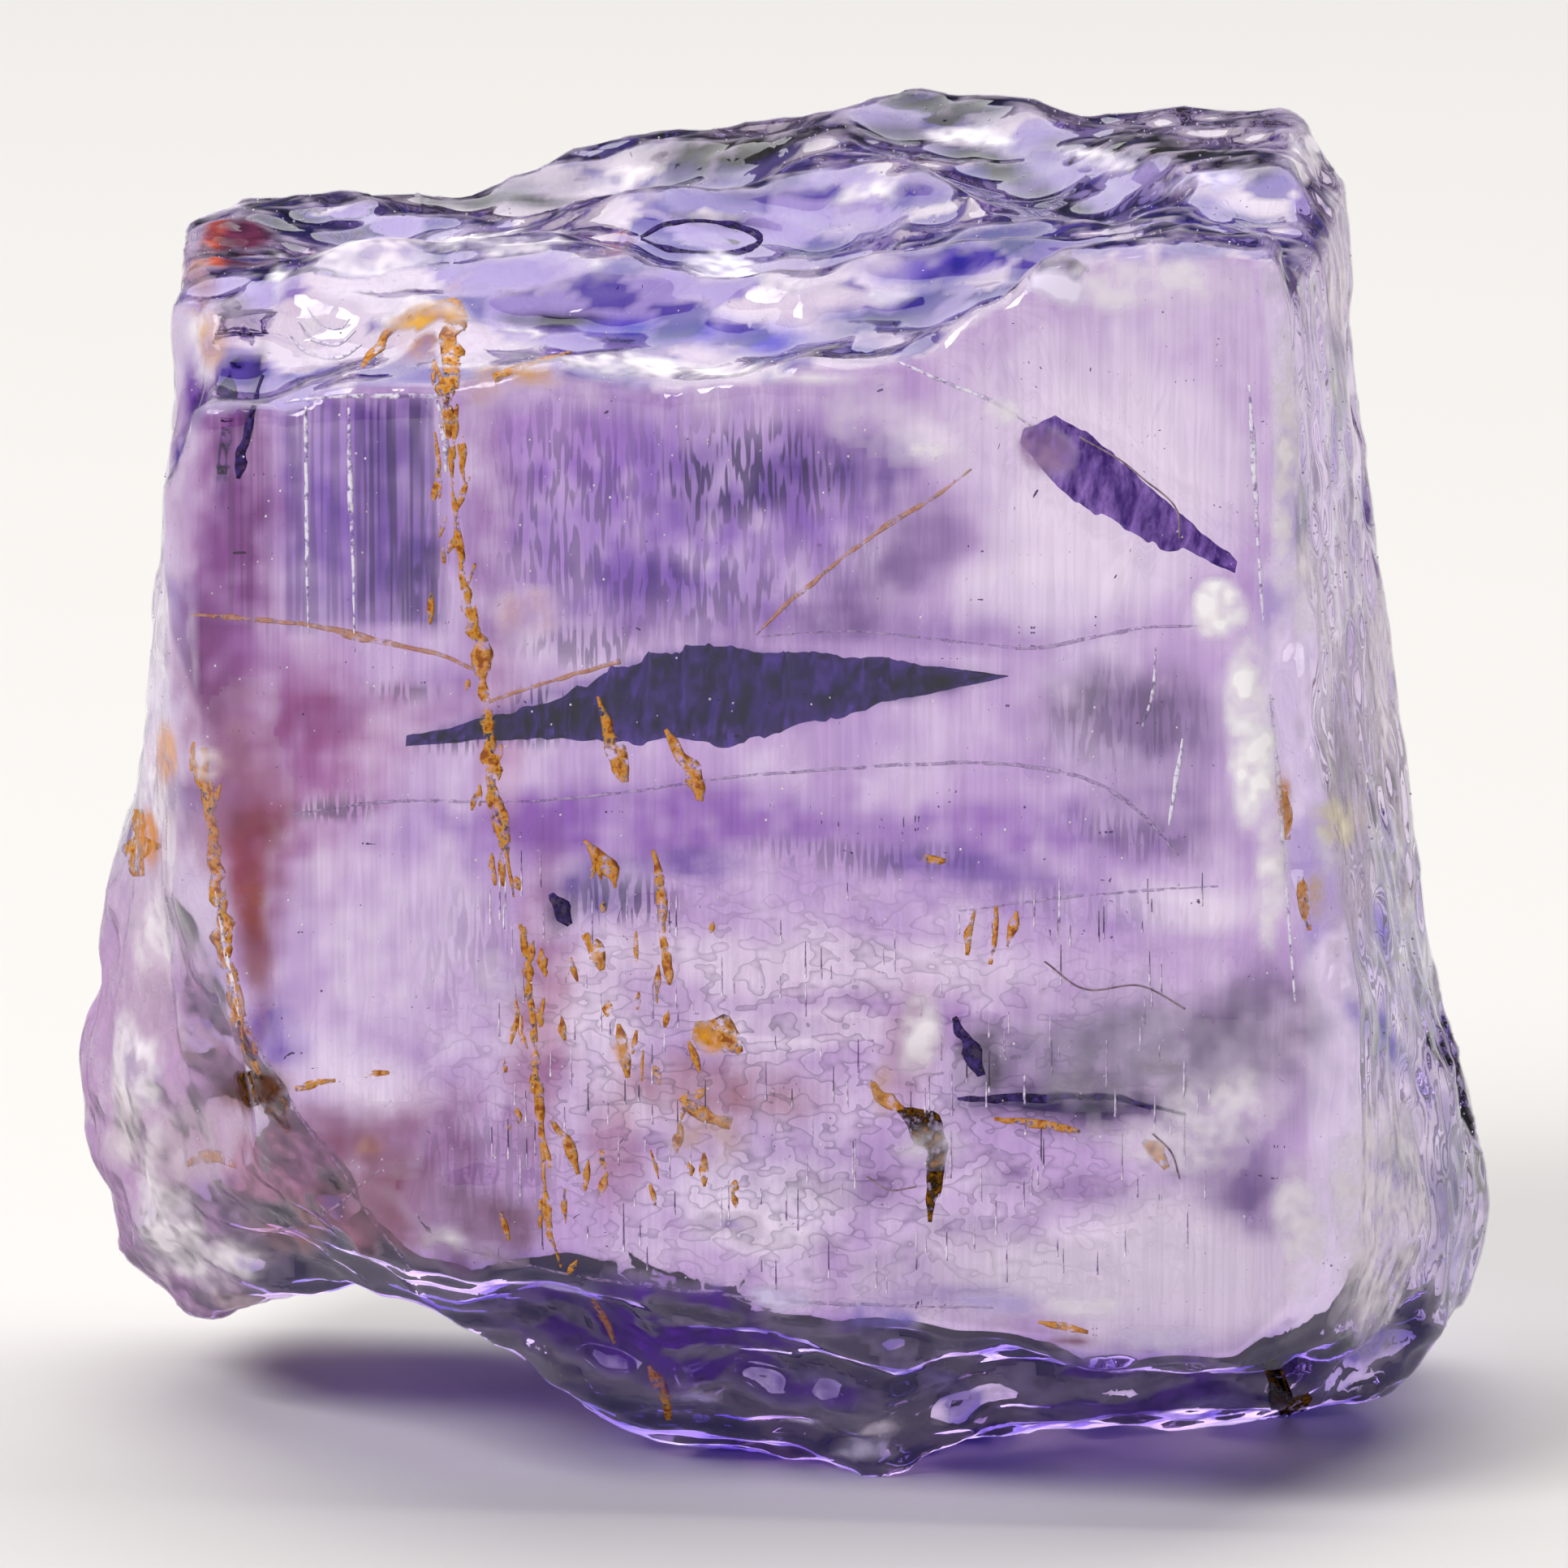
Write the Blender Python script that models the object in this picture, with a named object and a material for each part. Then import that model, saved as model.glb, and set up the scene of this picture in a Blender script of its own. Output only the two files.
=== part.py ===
"""A rough violet scapolite crystal: one broken prism that stands on a small flat spot.

It is shaped in millimetres, with +Z up, and brought to metres at the end. The front prism face
looks towards -Y and the back one towards +Y. Outlines are x across and z up, at a depth y.
Fractures are dishes, ledges and pits cut into the prism, as they are on the real stone.
"""

import math
import random

import bmesh
import bpy
from mathutils import Matrix, Vector, noise

MM = 0.001

# Driving sizes, in millimetres: the two prism faces
FRONT_Y = -4.6
BACK_Y = 4.6

# Lumps on the broken surfaces, and the share of them that the two narrow sides get
RELIEF_HEIGHT = 0.16
RELIEF_LENGTH = 1.3
SIDE_ROUGHNESS = 0.3
LOBE_EDGE_X = -6.2
LOBE_TOP_Z = 8.5
FOOT_EDGE_X = 6.6
FOOT_TOP_Z = 5.5

# Etch pits and growth grooves on the prism faces
PIT_COUNT = 24
PIT_WIDTH = 0.42
PIT_DEPTH = 0.10
GROOVE_WIDTH = 0.45
GROOVE_DEPTH = 0.08
RUN_OUT = -0.01

# Conchoidal scars: the rings of a bowl as shares of its half width, and the collar above it
DISH_SIDES = 14
DISH_RINGS = (0.4, 0.75, 1.05, 1.4)
COLLAR_REACH = 1.5
COLLAR_HEIGHT = 1.6

# Points nearer than this are one point, and faces flatter than this to each other are one face
MERGE_WIDTH = 0.001
FLAT_DEGREES = 1.0

# The crystal's outline at seven depths, clockwise from its upper left corner. Each has eight
# points along the top, five down the right, ten along the bottom and five up the left.
OUTLINES = (
    (
        FRONT_Y,
        ((-5.9, 12.4), (-5.0, 12.7), (-3.1, 12.6), (-1.9, 13.0)),
        ((-0.1, 13.0), (1.8, 13.1), (3.4, 14.0), (5.3, 14.1)),
        ((5.4, 13.4), (5.7, 9.0), (6.1, 6.7), (6.2, 4.9), (6.2, 3.4)),
        ((6.0, 2.4), (5.5, 1.9), (4.4, 1.9), (3.1, 2.1), (1.5, 2.3)),
        ((-0.1, 2.5), (-1.5, 2.6), (-3.0, 2.7), (-3.7, 2.9), (-4.0, 3.4)),
        ((-4.3, 3.9), (-4.9, 4.5), (-5.5, 5.4), (-5.8, 7.0), (-6.0, 9.7)),
    ),
    (
        -4.1,
        ((-6.4, 13.0), (-5.2, 13.1), (-3.2, 12.9), (-1.9, 13.3)),
        ((-0.1, 13.3), (1.8, 13.4), (3.4, 14.2), (5.8, 14.2)),
        ((5.9, 13.4), (6.3, 8.9), (6.7, 6.6), (6.8, 4.8), (6.8, 3.1)),
        ((6.5, 2.1), (5.8, 1.6), (4.5, 1.5), (3.0, 1.6), (1.5, 1.7)),
        ((-0.2, 1.9), (-1.6, 2.1), (-2.9, 2.4), (-3.8, 2.6), (-4.2, 2.9)),
        ((-4.6, 3.4), (-5.4, 4.2), (-5.9, 5.2), (-6.3, 6.9), (-6.4, 9.6)),
    ),
    (
        -2.3,
        ((-6.5, 13.5), (-5.4, 13.8), (-3.4, 13.8), (-2.0, 13.9)),
        ((-0.3, 13.8), (1.5, 14.1), (3.3, 14.4), (5.6, 14.4)),
        ((6.1, 13.7), (6.5, 8.8), (6.9, 6.4), (7.1, 4.6), (7.2, 2.9)),
        ((6.9, 1.6), (6.1, 1.0), (4.5, 0.8), (2.9, 0.7), (1.3, 0.0)),
        ((-0.4, 0.4), (-1.8, 0.7), (-2.9, 1.4), (-3.9, 2.0), (-4.6, 2.2)),
        ((-5.4, 2.5), (-6.2, 3.4), (-6.6, 4.8), (-6.8, 6.6), (-6.8, 9.3)),
    ),
    (
        -0.5,
        ((-6.7, 13.5), (-5.7, 13.9), (-3.7, 14.0), (-2.2, 14.1)),
        ((-0.6, 14.1), (1.3, 14.3), (3.2, 14.5), (5.7, 14.6)),
        ((6.2, 13.9), (6.7, 8.5), (7.1, 6.0), (7.5, 4.4), (7.7, 2.7)),
        ((7.5, 1.5), (6.7, 0.6), (5.0, 0.3), (3.0, 0.2), (1.1, -0.3)),
        ((-0.6, -0.1), (-2.0, 0.4), (-3.3, 1.0), (-4.5, 1.6), (-5.6, 1.4)),
        ((-6.6, 1.3), (-7.4, 2.2), (-7.9, 3.9), (-7.6, 6.2), (-7.2, 8.5)),
    ),
    (
        1.4,
        ((-7.0, 13.6), (-5.9, 13.9), (-3.9, 14.1), (-2.4, 14.2)),
        ((-0.8, 14.3), (1.1, 14.5), (3.1, 14.6), (5.7, 14.7)),
        ((6.2, 14.0), (6.9, 8.2), (7.3, 5.7), (7.9, 4.2), (8.0, 2.5)),
        ((7.8, 1.3), (7.0, 0.4), (5.5, -0.1), (3.0, -0.2), (0.9, -0.3)),
        ((-0.8, -0.3), (-2.3, 0.1), (-3.6, 0.6), (-4.8, 1.2), (-5.9, 1.0)),
        ((-6.9, 0.7), (-7.9, 1.5), (-8.4, 3.7), (-7.9, 6.0), (-7.5, 8.0)),
    ),
    (
        3.6,
        ((-7.2, 13.4), (-6.0, 13.8), (-3.7, 14.0), (-2.4, 14.3)),
        ((-0.7, 14.5), (1.1, 14.9), (3.4, 14.7), (5.6, 14.8)),
        ((6.1, 14.1), (6.7, 7.8), (7.0, 5.4), (7.4, 3.9), (7.7, 2.2)),
        ((7.4, 1.1), (6.6, 0.4), (5.0, 0.0), (2.8, -0.1), (0.7, -0.1)),
        ((-1.0, -0.1), (-2.5, 0.2), (-3.8, 0.7), (-5.0, 1.2), (-6.0, 1.1)),
        ((-7.0, 1.1), (-7.9, 2.0), (-8.3, 3.7), (-7.9, 5.8), (-7.6, 7.8)),
    ),
    (
        BACK_Y,
        ((-7.0, 13.4), (-5.9, 13.8), (-3.5, 14.0), (-2.3, 14.4)),
        ((-0.6, 14.6), (1.1, 15.0), (3.7, 14.7), (5.4, 14.8)),
        ((5.7, 14.2), (6.1, 7.6), (6.5, 5.2), (6.9, 3.6), (7.1, 2.0)),
        ((6.9, 1.2), (6.0, 0.6), (4.5, 0.4), (2.6, 0.3), (0.6, 0.2)),
        ((-1.1, 0.3), (-2.7, 0.6), (-4.0, 1.1), (-5.2, 1.4), (-6.0, 1.6)),
        ((-7.0, 1.7), (-7.6, 2.5), (-7.9, 3.8), (-7.6, 5.7), (-7.3, 7.8)),
    ),
)

# Conchoidal dishes: the middle of each on the surface, the way its hollow opens, half its length,
# half its width, its depth and the turn of its long side.
DISHES = (
    # Broken top, from the left front corner to the right back one
    ((-4.4, -3.8, 13.2), (-0.2, -0.7, 0.8), 1.9, 1.0, 0.38, 10),
    ((-1.7, -3.5, 13.4), (0.1, -0.7, 0.8), 2.2, 1.0, 0.40, -6),
    ((1.3, -3.4, 13.7), (0.1, -0.6, 0.8), 2.1, 1.0, 0.36, 12),
    ((-4.5, 0.2, 13.9), (-0.1, -0.1, 1.0), 2.7, 2.1, 0.46, 30),
    ((-1.2, -0.8, 14.1), (0.2, -0.3, 1.0), 2.4, 1.5, 0.50, -30),
    ((2.2, -1.2, 14.4), (-0.1, -0.4, 1.0), 2.8, 1.4, 0.50, 12),
    ((5.0, -1.0, 14.5), (0.2, -0.3, 1.0), 1.9, 1.3, 0.32, -50),
    ((2.8, 1.7, 14.6), (-0.2, -0.3, 1.0), 2.6, 1.5, 0.50, -20),
    ((-1.4, 2.2, 14.3), (-0.3, -0.2, 1.0), 2.3, 1.5, 0.44, 50),
    ((-4.8, 3.5, 14.0), (-0.2, 0.4, 1.0), 2.2, 1.2, 0.36, 0),
    ((1.4, 4.4, 14.8), (0.0, 0.9, 0.7), 2.2, 0.7, 0.26, 0),
    # Left side: the upper broken corner, the side above the lobe and the lobe's lumps
    ((-6.5, -3.2, 12.4), (-1.0, -0.8, 0.3), 1.2, 0.8, 0.26, 70),
    ((-7.1, 0.6, 10.8), (-1.0, 0.0, 0.1), 2.0, 1.4, 0.26, 75),
    ((-6.2, -2.8, 3.8), (-0.9, -0.8, -0.1), 1.7, 0.9, 0.32, 60),
    ((-5.6, -2.2, 2.4), (-0.5, -0.7, -0.7), 1.3, 0.8, 0.26, 0),
    ((-8.0, -0.2, 5.6), (-1.0, -0.3, 0.1), 1.4, 1.0, 0.26, 60),
    ((-7.7, -0.6, 2.6), (-0.9, -0.4, -0.4), 1.2, 0.9, 0.24, -20),
    ((-8.3, 2.6, 3.6), (-1.0, 0.2, -0.1), 1.5, 1.1, 0.26, -30),
    ((-4.6, 0.4, 1.5), (0.1, -0.1, -1.0), 1.5, 2.2, 0.30, 15),
    # Underside and the facets in front of it
    ((-2.4, -3.2, 1.7), (-0.2, -0.8, -0.6), 1.7, 1.0, 0.34, 20),
    ((0.3, -3.6, 1.4), (-0.1, -0.8, -0.6), 1.5, 0.9, 0.34, -15),
    ((2.7, -3.3, 1.2), (0.1, -0.8, -0.7), 1.6, 0.9, 0.32, 15),
    ((5.0, -2.9, 1.2), (0.2, -0.8, -0.7), 1.5, 0.9, 0.30, -15),
    ((7.0, -1.2, 1.4), (0.7, -0.5, -0.7), 1.5, 0.9, 0.30, 50),
    ((7.4, 2.2, 1.2), (0.8, 0.2, -0.7), 1.5, 0.9, 0.28, 80),
    ((-3.4, 3.6, 0.7), (-0.2, 0.5, -1.0), 1.8, 1.1, 0.30, 0),
    # Right side and the back
    ((7.1, -1.9, 6.6), (1.0, -0.2, 0.1), 2.1, 1.0, 0.24, 5),
    ((6.4, 1.6, 11.4), (1.0, 0.1, 0.1), 1.9, 1.3, 0.24, 10),
    ((7.6, 1.5, 4.6), (1.0, 0.0, 0.2), 1.5, 1.2, 0.24, 0),
    ((6.8, -2.6, 10.0), (1.0, -0.4, 0.0), 1.6, 0.6, 0.16, 0),
    ((-5.6, 4.5, 11.6), (-0.4, 1.0, 0.3), 2.1, 1.4, 0.42, 35),
    ((5.2, 4.6, 4.2), (0.4, 1.0, -0.2), 2.1, 1.3, 0.42, -50),
    ((-1.6, 4.6, 2.2), (0.0, 1.0, -0.4), 2.4, 1.3, 0.38, 5),
)

# Recesses in the front face: outlines of (x, z, depth below the face). A point with a depth
# below zero lies outside the face, so the recess runs out to nothing there.
UPPER_RIGHT_SPALL = (
    (1.5, 13.2, 0.08),
    (2.4, 12.8, 0.22),
    (3.2, 12.3, 0.38),
    (3.9, 11.8, 0.44),
    (4.7, 11.2, 0.36),
    (5.4, 10.8, 0.24),
    (6.8, 10.7, 0.22),
    (6.8, 15.4, 0.24),
    (2.6, 15.4, 0.24),
)
STRIATED_WINDOW = (
    (-5.1, 12.5, 0.14),
    (-4.2, 12.5, 0.14),
    (-3.3, 12.5, 0.14),
    (-3.2, 11.2, 0.12),
    (-3.1, 9.6, -0.02),
    (-4.9, 9.8, -0.02),
    (-5.2, 11.0, 0.12),
)
LEDGES = (
    ((0.1, 9.9, 0.06), (2.4, 10.1, 0.12), (5.0, 10.1, 0.08), (4.6, 9.2, -0.02), (2.0, 9.0, -0.02)),
    (
        ((-4.4, 8.1, 0.05), (-0.4, 8.4, 0.10), (2.8, 8.6, 0.12), (3.9, 8.2, 0.08))
        + ((3.0, 7.4, -0.02), (-1.0, 7.3, -0.02))
    ),
    ((2.3, 6.9, 0.04), (4.0, 7.1, 0.10), (5.4, 7.2, 0.06), (5.0, 6.4, -0.02), (3.2, 6.3, -0.02)),
    (
        ((-1.0, 7.1, 0.06), (0.4, 6.5, 0.12), (1.4, 6.8, 0.12), (2.6, 6.2, 0.06))
        + ((1.4, 5.6, -0.02), (0.0, 5.6, -0.02))
    ),
    ((-4.9, 5.2, 0.05), (-3.3, 5.3, 0.10), (-2.3, 5.6, 0.06), (-2.7, 4.6, -0.02), (-4.1, 4.5, -0.02)),
    ((-3.2, 4.3, 0.06), (-1.6, 4.0, 0.12), (0.2, 4.4, 0.10), (-0.2, 3.5, -0.02), (-2.4, 3.2, -0.02)),
)

# The frosted hollow low on the right of the front face
CLOUDY_HOLLOW = ((4.3, FRONT_Y, 5.4), (0.0, -1.0, 0.1), 2.1, 1.2, 0.26, 15)

# Steps across the back face, which is a plain prism face otherwise
BACK_STEPS = (
    (
        ((-6.6, 9.2, 0.10), (-2.0, 9.7, 0.22), (2.4, 9.3, 0.22), (4.2, 9.6, 0.10))
        + ((3.0, 8.2, -0.02), (-3.6, 8.0, -0.02))
    ),
    ((-3.0, 6.4, 0.12), (1.0, 6.8, 0.24), (5.8, 6.5, 0.12), (4.6, 5.4, -0.02), (-1.2, 5.2, -0.02)),
    ((-0.6, 12.6, 0.10), (2.4, 13.0, 0.20), (5.2, 12.6, 0.10), (4.0, 11.6, -0.02), (0.8, 11.6, -0.02)),
)

# Panels of upright growth striations: the face's depth, its left and right, its foot and top, the
# number of grooves and how far the panel's floor lies below the face
STRIATIONS = (
    (FRONT_Y, -5.0, -3.3, 10.0, 12.4, 6, 0.12),
    (FRONT_Y, -2.9, 2.0, 9.0, 12.6, 9, 0.0),
    (FRONT_Y, -4.6, 4.6, 3.4, 9.4, 14, 0.0),
    (BACK_Y, -6.0, 5.2, 3.0, 12.8, 14, 0.0),
)


def violet_scapolite():
    """Clear violet scapolite, glassy where it is broken."""
    material = bpy.data.materials.new("violet scapolite")
    material.use_nodes = True
    shader = material.node_tree.nodes["Principled BSDF"]
    shader.inputs["Base Color"].default_value = (0.62, 0.50, 0.82, 1.0)
    shader.inputs["Metallic"].default_value = 0.0
    shader.inputs["Roughness"].default_value = 0.12
    shader.inputs["IOR"].default_value = 1.55
    shader.inputs["Transmission Weight"].default_value = 0.85
    return material


def object_of(name, mesh_maker):
    """A new object whose mesh is the mesh maker's, with its faces pointing out."""
    mesh = bpy.data.meshes.new(name)
    bmesh.ops.recalc_face_normals(mesh_maker, faces=mesh_maker.faces)
    mesh_maker.to_mesh(mesh)
    mesh_maker.free()
    made = bpy.data.objects.new(name, mesh)
    bpy.context.scene.collection.objects.link(made)
    return made


def outline_ring(shape, depth, sides):
    """The loop of edges for one outline."""
    points = [point for side in sides for point in side]
    corners = [shape.verts.new((x, depth, z)) for x, z in points]
    return [shape.edges.new((a, b)) for a, b in zip(corners, corners[1:] + corners[:1])]


def ramp(value, start, length):
    """0 up to the start, then rising to 1 over the length."""
    return min(max((value - start) / length, 0.0), 1.0)


def roughness_at(point, facing):
    """How broken the surface is there: most on the top, the underside and the lobe at the lower left."""
    ends = ramp(abs(facing.z), 0.3, 0.4)
    lobe = ramp(LOBE_EDGE_X - point.x, 0, 0.8) * ramp(LOBE_TOP_Z - point.z, 0, 1.5)
    foot = ramp(point.x - FOOT_EDGE_X, 0, 0.6) * ramp(FOOT_TOP_Z - point.z, 0, 1.5)
    return max(ends, lobe, 0.6 * foot, SIDE_ROUGHNESS)


def roughen(shape, flat_verts):
    """Lumps on the broken sides, while the points of the two prism faces stay where they are."""
    shape.normal_update()
    moves = []
    for vert in shape.verts:
        if vert in flat_verts:
            continue
        here = vert.co / RELIEF_LENGTH
        height = noise.noise(here) + 0.5 * noise.noise(here * 2.3)
        moves.append((vert, vert.normal * height * RELIEF_HEIGHT * roughness_at(vert.co, vert.normal)))
    for vert, move in moves:
        vert.co += move


def prism():
    """The whole crystal before it was broken: its outlines joined from the front to the back."""
    shape = bmesh.new()
    rings = [outline_ring(shape, depth, sides) for depth, *sides in OUTLINES]
    for ring, behind in zip(rings, rings[1:]):
        bmesh.ops.bridge_loops(shape, edges=ring + behind)
    long_edges = [edge for edge in shape.edges if edge.calc_length() > RELIEF_HEIGHT]
    bmesh.ops.subdivide_edges(shape, edges=long_edges, cuts=1, use_grid_fill=True)
    flat_verts = {vert for vert in shape.verts if min(vert.co.y - FRONT_Y, BACK_Y - vert.co.y) < MERGE_WIDTH}
    roughen(shape, flat_verts)
    bmesh.ops.holes_fill(shape, edges=[edge for edge in shape.edges if edge.is_boundary], sides=0)
    bmesh.ops.triangulate(shape, faces=shape.faces)
    return object_of("scapolite_crystal", shape)


def facing_matrix(place, facing, turn):
    """Stands a shape made along +Z at a place, looking the given way, turned about its own axis."""
    aim = Vector(facing).to_track_quat("Z", "Y").to_matrix().to_4x4()
    return Matrix.Translation(Vector(place)) @ aim @ Matrix.Rotation(math.radians(turn), 4, "Z")


def dish_cutter(dish):
    """A shallow bowl for one conchoidal scar, under a collar that clears what stands above it."""
    place, facing, half_length, half_width, depth, turn = dish
    shape = bmesh.new()
    middle = shape.verts.new((0, 0, -depth))
    bowl = [(reach, depth * (reach * reach - 1)) for reach in DISH_RINGS]
    loops = []
    for reach, height in bowl + [(COLLAR_REACH, bowl[-1][1] + COLLAR_HEIGHT)]:
        loop = []
        for step in range(DISH_SIDES):
            angle = math.tau * step / DISH_SIDES
            uneven = 1 + 0.12 * math.sin(3 * angle + place[0])
            uneven += 0.08 * math.sin(2 * angle + place[2])
            along = half_length * reach * uneven * math.cos(angle)
            across = half_width * reach * uneven * math.sin(angle)
            loop.append(shape.verts.new((along, across, height)))
        loops.append(loop)
    for step in range(DISH_SIDES):
        after = (step + 1) % DISH_SIDES
        shape.faces.new((middle, loops[0][step], loops[0][after]))
        for inner, outer in zip(loops, loops[1:]):
            shape.faces.new((inner[step], outer[step], outer[after], inner[after]))
    shape.faces.new(loops[-1])
    bmesh.ops.transform(shape, matrix=facing_matrix(place, facing, turn), verts=shape.verts)
    bmesh.ops.triangulate(shape, faces=shape.faces)
    return object_of("dish cutter", shape)


def recess_cutter(outline, face_y, middle_depth=None):
    """A slab from outside a prism face down to each point's own depth, fanned round its middle."""
    inward = -math.copysign(1, face_y)
    across, up, deep = (sum(column) / len(outline) for column in zip(*outline))
    if middle_depth is not None:
        deep = middle_depth
    shape = bmesh.new()
    outside = [shape.verts.new((x, face_y - inward, z)) for x, z, _ in outline]
    floor = [shape.verts.new((x, face_y + inward * depth, z)) for x, z, depth in outline]
    lid_middle = shape.verts.new((across, face_y - inward, up))
    floor_middle = shape.verts.new((across, face_y + inward * deep, up))
    for step in range(len(outline)):
        after = (step + 1) % len(outline)
        shape.faces.new((outside[step], outside[after], lid_middle))
        shape.faces.new((floor[step], floor[after], floor_middle))
        shape.faces.new((outside[step], outside[after], floor[after], floor[step]))
    bmesh.ops.triangulate(shape, faces=shape.faces)
    return object_of("recess cutter", shape)


def striation_cutters(panel, chance):
    """Upright V grooves side by side, of uneven width, length and depth, that run out at both ends."""
    face_y, left, right, foot, top, count, floor = panel
    pitch = (right - left) / count
    cutters = []
    for step in range(count):
        x = left + pitch * (step + chance.uniform(0.3, 0.7))
        half = GROOVE_WIDTH * chance.uniform(0.5, 1.0) / 2
        tall = (top - foot) * chance.uniform(0.5, 0.95)
        head = chance.uniform(foot + tall, top)
        deep = floor + GROOVE_DEPTH * chance.uniform(0.7, 1.3)
        outline = (
            (x, head, floor + RUN_OUT),
            (x + half, head - tall * 0.3, floor + RUN_OUT),
            (x + half * 0.7, head - tall * 0.7, floor + RUN_OUT),
            (x, head - tall, floor + RUN_OUT),
            (x - half * 0.7, head - tall * 0.7, floor + RUN_OUT),
            (x - half, head - tall * 0.3, floor + RUN_OUT),
        )
        cutters.append(recess_cutter(outline, face_y, deep))
    return cutters


def pit_cutters(chance):
    """Etch pits on the lower half of the front face: upside-down pyramids with a steep upper side."""
    cutters = []
    for _ in range(PIT_COUNT):
        x = chance.uniform(-3.6, 5.2)
        z = chance.uniform(3.0, 7.2)
        half = PIT_WIDTH * chance.uniform(0.6, 1.5) / 2
        tall = half * chance.uniform(1.0, 1.8)
        outline = (
            (x - half, z, RUN_OUT),
            (x - half * 0.4, z + tall * 0.5, PIT_DEPTH),
            (x + half * 0.5, z + tall * 0.4, PIT_DEPTH),
            (x + half, z, RUN_OUT),
            (x, z - tall, RUN_OUT),
        )
        cutters.append(recess_cutter(outline, FRONT_Y))
    return cutters


def floor_cutter():
    """All that lies lower than the small flat spot that the crystal stands on."""
    size = Matrix.Diagonal((30, 30, 4, 1))
    shape = bmesh.new()
    bmesh.ops.create_cube(shape, size=1.0, matrix=Matrix.Translation((0, 0, -2)) @ size)
    return object_of("floor cutter", shape)


def cut(body, cutter):
    """Takes the cutter away from the body, and then removes it."""
    modifier = body.modifiers.new("cut", "BOOLEAN")
    modifier.operation = "DIFFERENCE"
    modifier.solver = "EXACT"
    modifier.object = cutter
    graph = bpy.context.evaluated_depsgraph_get()
    mesh = bpy.data.meshes.new_from_object(body.evaluated_get(graph))
    body.modifiers.clear()
    old = body.data
    body.data = mesh
    bpy.data.meshes.remove(old)
    bpy.data.objects.remove(cutter)


def keep_largest(shape):
    """Removes any splinter that the cuts set loose."""
    left = set(shape.verts)
    pieces = []
    while left:
        piece = {left.pop()}
        edge_of = list(piece)
        while edge_of:
            near = {edge.other_vert(vert) for vert in edge_of for edge in vert.link_edges}
            edge_of = list(near - piece)
            piece |= near
        left -= piece
        pieces.append(piece)
    pieces.sort(key=len)
    for splinter in pieces[:-1]:
        bmesh.ops.delete(shape, geom=list(splinter), context="VERTS")


def clean(body):
    """Merges points that the cuts left together, and puts the origin under the middle of the crystal."""
    shape = bmesh.new()
    shape.from_mesh(body.data)
    keep_largest(shape)
    nearly_flat = math.radians(FLAT_DEGREES)
    bmesh.ops.dissolve_limit(shape, angle_limit=nearly_flat, verts=shape.verts, edges=shape.edges)
    bmesh.ops.triangulate(shape, faces=shape.faces)
    bmesh.ops.remove_doubles(shape, verts=shape.verts, dist=MERGE_WIDTH)
    bmesh.ops.dissolve_degenerate(shape, edges=shape.edges, dist=MERGE_WIDTH)
    bmesh.ops.triangulate(shape, faces=shape.faces)
    lowest = [min(vert.co[axis] for vert in shape.verts) for axis in range(3)]
    highest = [max(vert.co[axis] for vert in shape.verts) for axis in range(3)]
    middle = ((lowest[0] + highest[0]) / 2, (lowest[1] + highest[1]) / 2, lowest[2])
    bmesh.ops.translate(shape, vec=-Vector(middle), verts=shape.verts)
    bmesh.ops.scale(shape, vec=(MM, MM, MM), verts=shape.verts)
    shape.to_mesh(body.data)
    shape.free()


def main():
    for old in list(bpy.data.objects):
        bpy.data.objects.remove(old)
    crystal = prism()
    cutters = [dish_cutter(dish) for dish in DISHES]
    cutters += [recess_cutter(outline, FRONT_Y) for outline in (UPPER_RIGHT_SPALL, STRIATED_WINDOW)]
    cutters += [recess_cutter(outline, FRONT_Y) for outline in LEDGES]
    cutters += [recess_cutter(outline, BACK_Y) for outline in BACK_STEPS]
    cutters.append(dish_cutter(CLOUDY_HOLLOW))
    chance = random.Random(11)
    for panel in STRIATIONS:
        cutters += striation_cutters(panel, chance)
    cutters += pit_cutters(chance)
    cutters.append(floor_cutter())
    for cutter in cutters:
        cut(crystal, cutter)
    clean(crystal)
    crystal.data.materials.append(violet_scapolite())


main()
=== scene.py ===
import itertools
import math

import bmesh
import bpy
import numpy as np
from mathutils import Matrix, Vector
from mathutils.bvhtree import BVHTree

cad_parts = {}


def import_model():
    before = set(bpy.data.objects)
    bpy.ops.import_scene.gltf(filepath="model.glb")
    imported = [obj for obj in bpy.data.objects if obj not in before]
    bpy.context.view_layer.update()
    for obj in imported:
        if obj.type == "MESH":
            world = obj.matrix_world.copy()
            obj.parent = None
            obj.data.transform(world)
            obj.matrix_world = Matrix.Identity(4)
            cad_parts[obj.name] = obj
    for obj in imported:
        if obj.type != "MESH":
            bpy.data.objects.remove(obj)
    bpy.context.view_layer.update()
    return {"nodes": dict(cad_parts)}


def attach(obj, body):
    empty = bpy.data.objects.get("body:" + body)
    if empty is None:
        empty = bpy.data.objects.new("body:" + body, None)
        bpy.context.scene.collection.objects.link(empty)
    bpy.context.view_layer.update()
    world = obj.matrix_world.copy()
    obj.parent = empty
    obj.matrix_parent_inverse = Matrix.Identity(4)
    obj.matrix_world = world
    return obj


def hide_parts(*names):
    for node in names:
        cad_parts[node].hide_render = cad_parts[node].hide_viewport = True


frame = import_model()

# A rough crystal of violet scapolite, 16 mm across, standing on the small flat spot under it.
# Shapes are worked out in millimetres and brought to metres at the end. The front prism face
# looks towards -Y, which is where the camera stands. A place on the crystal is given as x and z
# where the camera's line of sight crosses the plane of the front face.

MM = 0.001

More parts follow.
